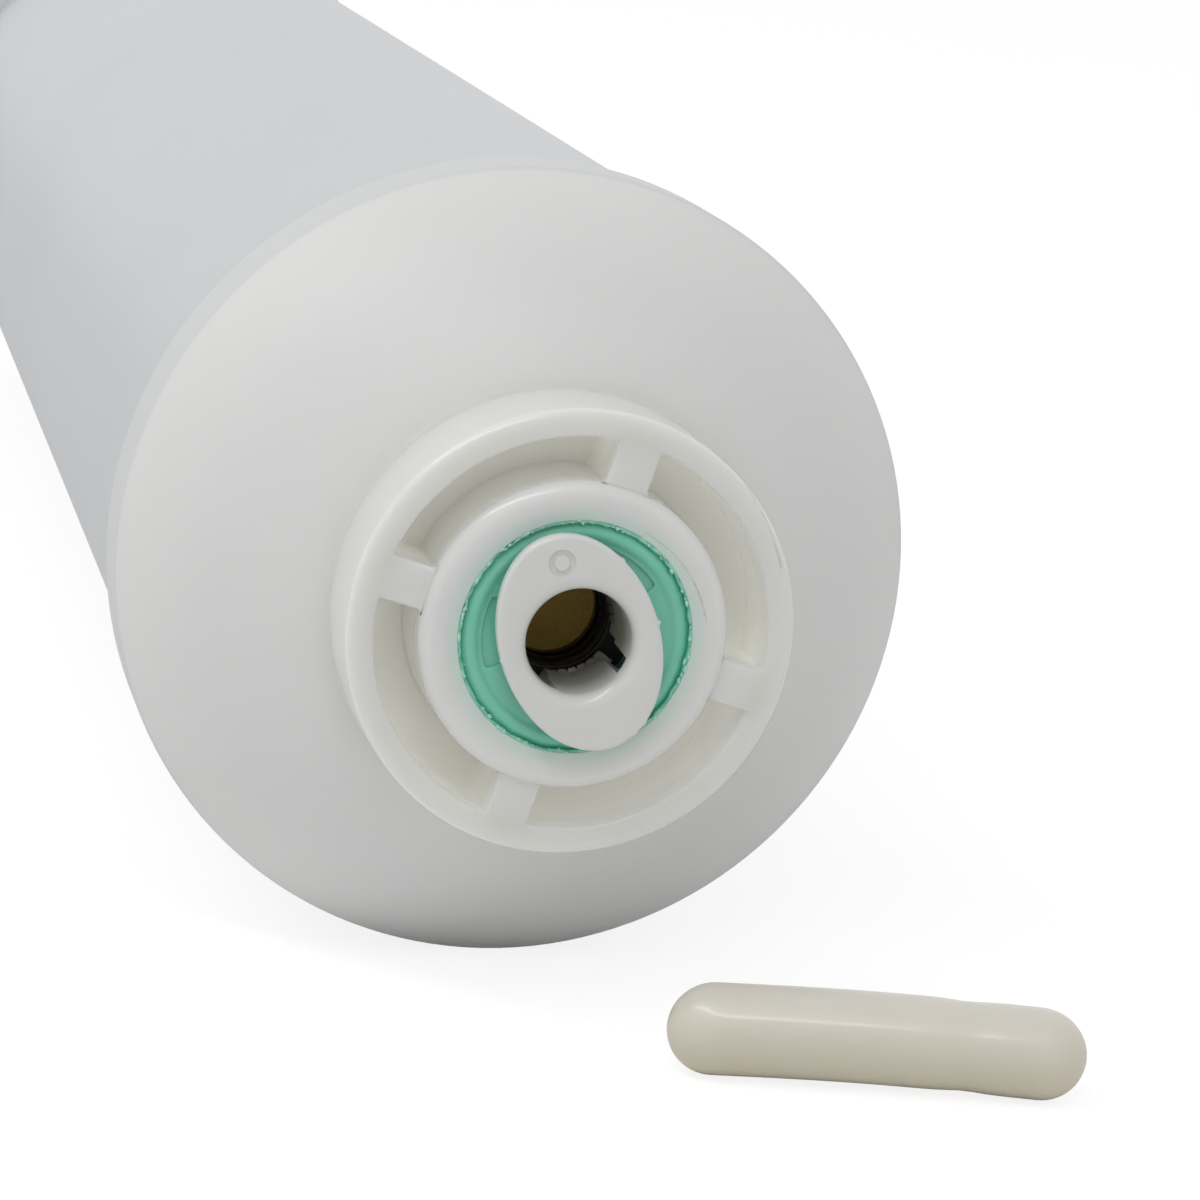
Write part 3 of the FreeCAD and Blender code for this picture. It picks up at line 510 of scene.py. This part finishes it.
for _ in range(CRUMBS):
    angle, size = random.uniform(0, math.tau), random.uniform(0.045, 0.12)
    spread = random.gauss(CRUMB_R, 0.06)
    spot = Vector((spread * math.cos(angle), -(RIM + BOSS_TOP), spread * math.sin(angle)))
    bpy.ops.mesh.primitive_ico_sphere_add(
        subdivisions=2, radius=size * MM, location=spot * MM, rotation=(0, -angle, 0))
    crumb = bpy.context.object
    crumb.scale = (random.uniform(0.8, 1.3), random.uniform(0.5, 0.9), random.uniform(1, 2.6))
    for vert in crumb.data.vertices:
        vert.co *= 1 + 0.5 * noise.noise(vert.co / size / MM + spot)
    crumbs.append(crumb)
for crumb in crumbs:
    crumb.select_set(True)
bpy.ops.object.join()
bpy.ops.object.transform_apply(location=True, rotation=True, scale=True)
front_flash = bpy.context.object
front_flash.name = front_flash.data.name = "front_weld_flash"
bpy.ops.object.shade_smooth()

flash_green, tree, shader = start_material(
    "melted_acetal_flash", "6cc0a4", Roughness=0.3, IOR=1.48)
# Painted shade: its thin foot is painted a darker green, for the shade of the gap below, and its
# lumps have gone milky.
_, _, _, height = place_on_axis(tree)
lumps = add_node(tree, "ShaderNodeMapRange", {
    "Value": height, "From Min": (RIM + BOSS_TOP - 0.06) * MM,
    "From Max": (RIM + BOSS_TOP + 0.08) * MM}).outputs[0]
tint = add_node(tree, "ShaderNodeMix", {
    "Factor": lumps, 6: linear("5bb597"), 7: linear("abdccd")}, data_type="RGBA").outputs[2]
tree.links.new(tint, shader.inputs["Base Color"])
front_flash.data.materials.append(flash_green)
rear_flash = other_end(front_flash, "rear_weld_flash")
for cup, ring, node in ((front_cup, front_flash, "front_cartridge"),
                        (rear_cup, rear_flash, "rear_cartridge")):
    for piece in (cup, ring):
        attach(piece, "root")
    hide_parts(node)

# ---------------------------------------------------------------- collets
# White acetal sleeve under an oval flange: four sprung fingers with barbs outside and a
# steel tooth strip in each. It slides in the cartridge to grip or free the tube.

BORE_R, SLEEVE_R, BARB_R, FLANGE_R = 3.32, 4.35, 4.85, 5.0
BARB_FOOT, BARB_TOP, BARB_END = 20.2, 21.0, 22.2
OVAL_R, FLANGE_FOOT, COLLET_TOP, COLLET_FOOT = 7.05, 25.1, 26.0, 19.4
FINGERS, OVAL_ANGLE, SLOT_TURN = 4, 112.3, 40.0  # degrees: long axis, and slots from it
# Each slot is wide at its mouth, then narrow: width at its foot and top, foot, top.
SLOT_BARS = ((1.7, 1.7, COLLET_FOOT - 0.3, 21.3), (1.25, 1.1, 21.2, 24.9))
BAR_LENGTH = 12  # of a cutter, past the sleeve on both sides
# The gate's mark is a round moat in the flange.
GATE_R, GATE_TURN, MOAT_R, MOAT_CORD = 5.29, -4.5, 0.66, 0.2
# Flash left on the flange's edge: degrees from the long axis, and how far it stands out.
NUBS = [(-94, 0.16), (-46, 0.1), (82.5, 0.1), (-161, 0.1), (-168, 0.07)]
NUB_HALF = 1.3  # degrees

collet_white, tree, shader = start_material(
    "moulded_acetal_collet", "d4d5d3", Roughness=0.2, IOR=1.48,
    Subsurface_Weight=0.15, Subsurface_Scale=0.0006,
)
shader.inputs["Subsurface Radius"].default_value = (1, 0.95, 0.9)
# Glossy white with the tool's fine grain. Painted shade: the bore is painted a darker grey below
# its lip, growing with depth.
where, _, radius, height = place_on_axis(tree)
inside = add_node(tree, "ShaderNodeMapRange", {
    "Value": radius, "From Min": 3.9 * MM, "From Max": 3.4 * MM}).outputs[0]
below = add_node(tree, "ShaderNodeMapRange", {
    "Value": height, "From Min": (RIM + 25.2) * MM, "From Max": (RIM + 22.8) * MM}).outputs[0]
painted_bore_shade = add_node(tree, "ShaderNodeMath", {0: inside, 1: below}, operation="MULTIPLY").outputs[0]
tint = add_node(tree, "ShaderNodeMix", {
    "Factor": painted_bore_shade, 6: linear("d4d5d3"), 7: linear("a3a69f")}, data_type="RGBA").outputs[2]
tree.links.new(tint, shader.inputs["Base Color"])
grain = add_node(tree, "ShaderNodeTexNoise", {
    "Vector": where, "Scale": 1 / (0.4 * MM), "Detail": 3}).outputs["Fac"]
relief = add_node(tree, "ShaderNodeBump", {
    "Height": grain, "Strength": 0.12, "Distance": 0.05 * MM})
tree.links.new(relief.outputs["Normal"], shader.inputs["Normal"])

front_collet = draw_outline("front_collet_sleeve", [
    (BORE_R, COLLET_FOOT, 0.1), (SLEEVE_R, COLLET_FOOT, 0), (BARB_R, BARB_FOOT, 0.1),
    (BARB_R, BARB_TOP, 0.1), (SLEEVE_R, BARB_END, 0), (SLEEVE_R, FLANGE_FOOT, 0.1),
    (FLANGE_R, FLANGE_FOOT, 0.12), (FLANGE_R, COLLET_TOP, 0.3), (BORE_R, COLLET_TOP, 0.85),
])
turn(front_collet)

# The flange is drawn out to an oval, its edge kept as round as it was turned.
shape = bmesh.from_edit_mesh(front_collet.data)
for vert in shape.verts:
    r, angle = off_axis(vert.co), math.atan2(vert.co.z, vert.co.x)
    if level_of(vert.co) > FLANGE_FOOT - CLOSE and r > FLANGE_R - 0.4:
        oval = OVAL_R * FLANGE_R / math.hypot(FLANGE_R * math.cos(angle), OVAL_R * math.sin(angle))
        nub = sum(size for at, size in NUBS if abs(math.degrees(angle) - at) < NUB_HALF)
        r = oval - (FLANGE_R - r) + (nub if level_of(vert.co) > FLANGE_FOOT + 0.2 else 0)
        vert.co = Vector((r * math.cos(angle) * MM, vert.co.y, r * math.sin(angle) * MM))
bmesh.update_edit_mesh(front_collet.data)
bpy.ops.object.mode_set(mode="OBJECT")


def cut(piece, cutter):
    """Takes the cutter's shape out of the piece and deletes the cutter."""
    bpy.ops.object.select_all(action="DESELECT")
    bpy.context.view_layer.objects.active = piece
    piece.select_set(True)
    bpy.ops.object.modifier_add(type="BOOLEAN")
    piece.modifiers[-1].object = cutter
    piece.modifiers[-1].solver = "EXACT"
    bpy.ops.object.modifier_apply(modifier=piece.modifiers[-1].name)
    bpy.data.objects.remove(cutter)


def slot_cutter(width_foot, width_top, foot, top):
    """A tapered bar across the sleeve, from one level to another."""
    middle = -(RIM + (foot + top) / 2) * MM
    bpy.ops.object.select_all(action="DESELECT")
    bpy.ops.mesh.primitive_cube_add(size=MM, location=(0, middle, 0))
    bar = bpy.context.object
    bar.scale = (BAR_LENGTH, top - foot, width_foot)
    bpy.ops.object.transform_apply(location=True, rotation=True, scale=True)
    for vert in bar.data.vertices:
        if vert.co.y < middle:
            vert.co.z *= width_top / width_foot
    return bar


# A bar right across the sleeve makes two slots.
for i in range(FINGERS // 2):
    for sizes in SLOT_BARS:
        bar = slot_cutter(*sizes)
        across = math.radians(-SLOT_TURN - i * 360 / FINGERS)
        bar.data.transform(Matrix.Rotation(across, 4, "Y"))
        cut(front_collet, bar)
bpy.ops.object.select_all(action="DESELECT")
bpy.ops.mesh.primitive_torus_add(
    major_radius=MOAT_R * MM, minor_radius=MOAT_CORD * MM, major_segments=40,
    minor_segments=16, rotation=(math.pi / 2, 0, 0),
    location=(GATE_R * MM, -(RIM + COLLET_TOP) * MM, 0))
bpy.ops.object.transform_apply(location=True, rotation=True, scale=True)
moat = bpy.context.object
moat.data.transform(Matrix.Rotation(math.radians(-GATE_TURN), 4, "Y"))
cut(front_collet, moat)
smooth_off(front_collet, collet_white)
front_collet.data.transform(Matrix.Rotation(math.radians(-OVAL_ANGLE), 4, "Y"))
rear_collet = other_end(front_collet, "rear_collet_sleeve")
for collet, node in ((front_collet, "front_collet"), (rear_collet, "rear_collet")):
    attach(collet, node)
    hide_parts(node)

# ---------------------------------------------------------------- tooth strips
# Pressed stainless strips with fine points, let into the fingers. Dull, and painted dark for the
# shade down the bore, with scuffs. The solids have their true form, so they only get their finish.

tooth_steel, tree, shader = start_material(
    "pressed_stainless_strip", "4a4741", Metallic=1.0, Roughness=0.35)
where = add_node(tree, "ShaderNodeTexCoord").outputs["Object"]
scuffs = add_node(tree, "ShaderNodeTexNoise", {
    "Vector": where, "Scale": 1 / (0.3 * MM), "Detail": 4}).outputs["Fac"]
dull = add_node(tree, "ShaderNodeMapRange", {
    "Value": scuffs, "To Min": 0.22, "To Max": 0.48}).outputs[0]
tree.links.new(dull, shader.inputs["Roughness"])


def dress(node, finish):
    """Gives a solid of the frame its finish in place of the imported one."""
    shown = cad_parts[node]
    for place in shown.material_slots:
        place.material = finish


for node in ("front_collet_teeth", "rear_collet_teeth"):
    dress(node, tooth_steel)

# ---------------------------------------------------------------- washers and O-rings
# Black acetal washer over a black nitrile O-ring in the gland below it. The ring keeps the
# thin flash line of its mould round the inside and outside.

# Greased rubber has a bloom that makes it satin in patches, and the washer is grained.
seal_black, tree, shader = start_material("moulded_nitrile_seal", "0b0b0b", Roughness=0.5)
where = add_node(tree, "ShaderNodeTexCoord").outputs["Object"]
bloom = add_node(tree, "ShaderNodeTexNoise", {
    "Vector": where, "Scale": 1 / (0.8 * MM), "Detail": 3}).outputs["Fac"]
dull = add_node(tree, "ShaderNodeMapRange", {
    "Value": bloom, "To Min": 0.4, "To Max": 0.6}).outputs[0]
tree.links.new(dull, shader.inputs["Roughness"])
washer_black, tree, shader = start_material("moulded_acetal_washer", "0c0c0d", Roughness=0.45)
where = add_node(tree, "ShaderNodeTexCoord").outputs["Object"]
grain = add_node(tree, "ShaderNodeTexNoise", {
    "Vector": where, "Scale": 1 / (0.3 * MM), "Detail": 3}).outputs["Fac"]
relief = add_node(tree, "ShaderNodeBump", {
    "Height": grain, "Strength": 0.15, "Distance": 0.04 * MM})
tree.links.new(relief.outputs["Normal"], shader.inputs["Normal"])

CORD_R, RING_MID, RING_LEVEL, SEAM = 0.8, 3.86, 17.075, 0.02
CORD_STEPS, SEAL_STEPS = 24, 96
WASHER_R, WASHER_ROUND = 5.6, 0.08
section = []
for i in range(CORD_STEPS):
    angle = math.tau * i / CORD_STEPS
    seam = SEAM if i in (0, CORD_STEPS // 2) else 0
    section.append((RING_MID + (CORD_R - SEAM + seam) * math.cos(angle),
                    RING_LEVEL + (CORD_R - SEAM) * math.sin(angle), 0))
front_ring = draw_outline("front_seal_ring", section)
turn(front_ring, SEAL_STEPS)
smooth_off(front_ring, seal_black)
front_washer = draw_outline("front_backing_washer", [
    (BORE_R, WASHER_SEAT, WASHER_ROUND), (WASHER_R, WASHER_SEAT, WASHER_ROUND),
    (WASHER_R, CUP_SEAT, WASHER_ROUND), (BORE_R, CUP_SEAT, WASHER_ROUND)])
turn(front_washer, SEAL_STEPS)
smooth_off(front_washer, washer_black)
for piece, twin_name, node, slot in (
    (front_ring, "rear_seal_ring", "o_ring", "o_ring_black"),
    (front_washer, "rear_backing_washer", "washer", "washer_black"),
):
    for seal, end in ((piece, "front"), (other_end(piece, twin_name), "rear")):
        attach(seal, "root")
        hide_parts(f"{end}_{node}")

# ---------------------------------------------------------------- felt pads
# Tan pressed felt cut to a 20.6 mm disc, 3 mm thick, behind the port's ledge. Its face
# is hairy and a little uneven, and the port looks straight at it.

PAD_R, PAD_ROUND, PAD_FOOT, PAD_TOP, PAD_STEPS = 10.28, 0.3, 12.62, 15.58, 64
# How far its face has sunk, from the edge to the middle: radius and depth.
PAD_DIPS = ((8, 0), (5, 0), (2.5, 0.02), (0, 0.03))

felt_tan, tree, shader = start_material("pressed_wool_felt", "c3a250", Roughness=0.9)
where = add_node(tree, "ShaderNodeTexCoord").outputs["Object"]
hair = add_node(tree, "ShaderNodeTexNoise", {
    "Vector": where, "Scale": 1 / (0.35 * MM), "Detail": 6, "Distortion": 1.5}).outputs["Fac"]
blotch = add_node(tree, "ShaderNodeTexNoise", {
    "Vector": where, "Scale": 1 / (2.5 * MM), "Detail": 2}).outputs["Fac"]
tint = add_node(tree, "ShaderNodeMix", {
    "Factor": hair, 6: linear("ae8937"), 7: linear("dcba66")}, data_type="RGBA").outputs[2]
tint = add_node(tree, "ShaderNodeMix", {
    "Factor": blotch, 6: tint, 7: linear("b19146")}, data_type="RGBA").outputs[2]
tree.links.new(tint, shader.inputs["Base Color"])
relief = add_node(tree, "ShaderNodeBump", {
    "Height": hair, "Strength": 0.8, "Distance": 0.12 * MM})
tree.links.new(relief.outputs["Normal"], shader.inputs["Normal"])
front_pad = draw_outline("front_felt_disc", [
    (0, PAD_FOOT, 0), (PAD_R, PAD_FOOT, PAD_ROUND), (PAD_R, PAD_TOP, PAD_ROUND),
    *[(spot, PAD_TOP - dip, 0) for spot, dip in PAD_DIPS]])
turn(front_pad, PAD_STEPS)
smooth_off(front_pad, felt_tan)
rear_pad = other_end(front_pad, "rear_felt_disc")
for pad, node in ((front_pad, "front_felt_pad"), (rear_pad, "rear_felt_pad")):
    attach(pad, "root")
    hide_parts(node)

# ---------------------------------------------------------------- grids, carbon and foam
# What the sealed housing holds: white perforated grids, black granules and a foam disc.
# None can be seen, so the solids stay and get their finish.

grid_white, tree, shader = start_material("moulded_polypropylene_grid", "d2d2ce", Roughness=0.45)
where = add_node(tree, "ShaderNodeTexCoord").outputs["Object"]
grain = add_node(tree, "ShaderNodeTexNoise", {
    "Vector": where, "Scale": 1 / (0.4 * MM), "Detail": 3}).outputs["Fac"]
tint = add_node(tree, "ShaderNodeMix", {
    "Factor": grain, 6: linear("cbcbc6"), 7: linear("d8d8d4")}, data_type="RGBA").outputs[2]
tree.links.new(tint, shader.inputs["Base Color"])
relief = add_node(tree, "ShaderNodeBump", {
    "Height": grain, "Strength": 0.12, "Distance": 0.05 * MM})
tree.links.new(relief.outputs["Normal"], shader.inputs["Normal"])
carbon_black, tree, shader = start_material("packed_granular_carbon", "232324", Roughness=0.8)
where = add_node(tree, "ShaderNodeTexCoord").outputs["Object"]
granules = add_node(tree, "ShaderNodeTexVoronoi", {
    "Vector": where, "Scale": 1 / (1.1 * MM)}).outputs["Distance"]
relief = add_node(tree, "ShaderNodeBump", {
    "Height": granules, "Strength": 1, "Distance": 0.5 * MM})
tree.links.new(relief.outputs["Normal"], shader.inputs["Normal"])
foam_grey, tree, shader = start_material("open_cell_foam", "a09f9b", Roughness=0.95)
where = add_node(tree, "ShaderNodeTexCoord").outputs["Object"]
cells = add_node(tree, "ShaderNodeTexVoronoi", {
    "Vector": where, "Scale": 1 / (0.8 * MM)}).outputs["Distance"]
relief = add_node(tree, "ShaderNodeBump", {
    "Height": cells, "Strength": 1, "Distance": 0.3 * MM}, invert=True)
tree.links.new(relief.outputs["Normal"], shader.inputs["Normal"])
for node, finish in (("front_support_grid", grid_white), ("rear_support_grid", grid_white),
                     ("carbon_bed", carbon_black), ("foam_disc", foam_grey)):
    dress(node, finish)

# ---------------------------------------------------------------- plugs
# Soft off-white polyethylene plugs, 6 mm across and 26.8 mm long, with round ends. The
# near one is out and lies by the cap, a little bent from its time in the port.

PLUG_R, PLUG_LENGTH, PLUG_FOOT = 3.0, 26.8, 16.35
# The loose plug: its place, turn, bow, and how much it has shrunk in length and girth.
LOOSE_X, LOOSE_Y, LOOSE_TURN, PLUG_BOW = 19.9, -132.0, -11.2, 0.26
SHORTER, THINNER = 0.018, 0.04
# Along it in half lengths: the depth, place and reach of its waist, and the middle of its
# bow, how fast that fades, and how round it is.
WAIST, WAIST_AT, WAIST_REACH = 0.035, 0.42, 0.1
BOW_AT, BOW_FADE, BOW_POWER = -0.05, 1.05, 1.2
BALL_STEPS, SHANK_STEPS = 56, 24

plug_white, tree, shader = start_material(
    "soft_polyethylene_plug", "cdcabf", Roughness=0.42, IOR=1.5, Specular_IOR_Level=0.8,
    Coat_Weight=0.3, Coat_Roughness=0.14, Subsurface_Weight=0.6, Subsurface_Scale=0.003,
)
shader.inputs["Subsurface Radius"].default_value = (1, 0.85, 0.6)
where = add_node(tree, "ShaderNodeTexCoord").outputs["Object"]
clouds = add_node(tree, "ShaderNodeTexNoise", {
    "Vector": where, "Scale": 1 / (7 * MM), "Detail": 3}).outputs["Fac"]
tint = add_node(tree, "ShaderNodeMix", {
    "Factor": clouds, 6: linear("cecabf"), 7: linear("d6d3ca")}, data_type="RGBA").outputs[2]
# Satin under a thin, glossier skin. The loose one is painted darker and warmer towards the side it
# lies on, as painted shade.
above = add_node(tree, "ShaderNodeSeparateXYZ", {0: where}).outputs["Z"]
painted_underside_shade = add_node(tree, "ShaderNodeMapRange", {
    "Value": above, "From Min": (5.76 - RIM_R) * MM, "From Max": (0.29 - RIM_R) * MM,
    "To Max": 0.62}).outputs[0]
tint = add_node(tree, "ShaderNodeMix", {
    "Factor": painted_underside_shade, 6: tint, 7: linear("bfb596")}, data_type="RGBA").outputs[2]
tree.links.new(tint, shader.inputs["Base Color"])
dimples = add_node(tree, "ShaderNodeTexNoise", {
    "Vector": where, "Scale": 1 / (2.2 * MM), "Detail": 3}).outputs["Fac"]
relief = add_node(tree, "ShaderNodeBump", {
    "Height": dimples, "Strength": 0.35, "Distance": 0.12 * MM})
tree.links.new(relief.outputs["Normal"], shader.inputs["Normal"])


def model_plug(name):
    """A ball drawn out along X to the plug's length, its shank ringed for bending."""
    reach = (PLUG_LENGTH / 2 - PLUG_R) * MM
    bpy.ops.object.select_all(action="DESELECT")
    bpy.ops.mesh.primitive_uv_sphere_add(
        segments=BALL_STEPS, ring_count=BALL_STEPS // 2, radius=PLUG_R * MM,
        rotation=(0, math.pi / 2, 0))
    piece = bpy.context.object
    piece.name = piece.data.name = name
    bpy.ops.object.transform_apply(location=True, rotation=True, scale=True)
    bpy.ops.object.mode_set(mode="EDIT")
    choose(piece, "faces", lambda f: f.calc_center_median().x > 0)
    bpy.ops.mesh.split()
    bpy.ops.transform.translate(value=(reach, 0, 0))
    choose(piece, "faces", lambda f: f.calc_center_median().x < 0)
    bpy.ops.transform.translate(value=(-reach, 0, 0))
    choose(piece, "edges", lambda e: e.is_boundary)
    bpy.ops.mesh.bridge_edge_loops(number_cuts=SHANK_STEPS, interpolation="LINEAR")
    bpy.ops.mesh.select_all(action="SELECT")
    bpy.ops.mesh.normals_make_consistent(inside=False)
    bpy.ops.object.mode_set(mode="OBJECT")
    bpy.ops.object.shade_smooth()
    piece.data.materials.append(plug_white)
    return piece


rear_plug = model_plug("rear_port_plug")
rear_plug.data.transform(Matrix.Rotation(math.pi / 2, 4, "Z"))
rear_plug.data.transform(
    Matrix.Translation((0, (RIM + PLUG_FOOT + PLUG_LENGTH / 2) * MM, 0)))
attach(rear_plug, "rear_plug")
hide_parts("rear_plug")

loose_plug = model_plug("loose_port_plug")
for vert in loose_plug.data.vertices:
    along = vert.co.x / (PLUG_LENGTH / 2 * MM)
    waist = THINNER + WAIST * math.exp(-((along - WAIST_AT) / WAIST_REACH) ** 2)
    vert.co.x *= 1 - SHORTER
    vert.co.y *= 1 - waist
    vert.co.z *= 1 - waist
    faded = min(abs(along - BOW_AT) * BOW_FADE, 1) * math.pi / 2
    vert.co.z += PLUG_BOW * MM * math.cos(faded) ** BOW_POWER
lowest = min(vert.co.z for vert in loose_plug.data.vertices)
floor_level = -RIM_R * MM
loose_plug.data.transform(Matrix.Rotation(math.radians(LOOSE_TURN), 4, "Z"))
loose_plug.data.transform(
    Matrix.Translation((LOOSE_X * MM, LOOSE_Y * MM, floor_level - lowest)))
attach(loose_plug, "root")
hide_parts("front_plug")

# ---------------------------------------------------------------- studio
# A pale floor under the rims, soft daylight all round with a long strip lamp high on the
# left, and the camera where the photograph was taken from.

# Matt painted board. Seen straight, most of it is lit up to white.
floor_white, tree, shader = start_material("studio_floor", "f6f6f6", Roughness=0.9)
look = add_node(tree, "ShaderNodeLightPath").outputs
lift = add_node(tree, "ShaderNodeEmission", {"Color": (1, 1, 1, 1), "Strength": 1.12})
share = add_node(tree, "ShaderNodeMath", {
    0: look["Is Camera Ray"], 1: 0.75}, operation="MULTIPLY")
both = add_node(tree, "ShaderNodeMixShader", {
    0: share.outputs[0], 1: shader.outputs[0], 2: lift.outputs[0]})
tree.links.new(both.outputs[0], tree.nodes["Material Output"].inputs["Surface"])
bpy.ops.object.select_all(action="DESELECT")
bpy.ops.mesh.primitive_plane_add(size=6, location=(0, 0, floor_level))
floor = bpy.context.object
floor.name = floor.data.name = "studio_floor"
bpy.ops.object.transform_apply(location=True, rotation=True, scale=True)
floor.data.materials.append(floor_white)

world = bpy.data.worlds.new("studio")
bpy.context.scene.world = world
world.use_nodes = True
sky = world.node_tree.nodes["Background"]
look = add_node(world.node_tree, "ShaderNodeLightPath").outputs
bright = add_node(world.node_tree, "ShaderNodeMath", {
    0: look["Is Camera Ray"], 1: look["Is Glossy Ray"]}, operation="MAXIMUM").outputs[0]
level = add_node(world.node_tree, "ShaderNodeMapRange", {
    "Value": bright, "To Min": 0.56, "To Max": 1.0}).outputs[0]
world.node_tree.links.new(level, sky.inputs["Strength"])
sky.inputs["Color"].default_value = (1, 1, 1, 1)


def lamp(name, place, target, width, height, power):
    """A soft box at a place in metres, aimed at a target."""
    data = bpy.data.lights.new(name, "AREA")
    data.shape, data.size, data.size_y, data.energy = "RECTANGLE", width, height, power
    light = bpy.data.objects.new(name, data)
    bpy.context.collection.objects.link(light)
    light.location = place
    light.rotation_euler = (Vector(target) - Vector(place)).to_track_quat("-Z", "Y").to_euler()


lamp("key", (-0.42, -0.42, 0.88), (0, -0.1, 0), 1.45, 0.1, 4.8)

camera = bpy.data.objects.new("camera", bpy.data.cameras.new("camera"))
bpy.context.collection.objects.link(camera)
camera.data.lens = 119.2
camera.data.sensor_width = 36
camera.data.clip_start = 0.01
camera.location = (-0.05404, -0.35665, 0.05672)
camera.rotation_euler = [math.radians(a) for a in (77.095, -4.935, -12.328)]
bpy.context.scene.camera = camera
bpy.context.scene.view_settings.view_transform = "Standard"
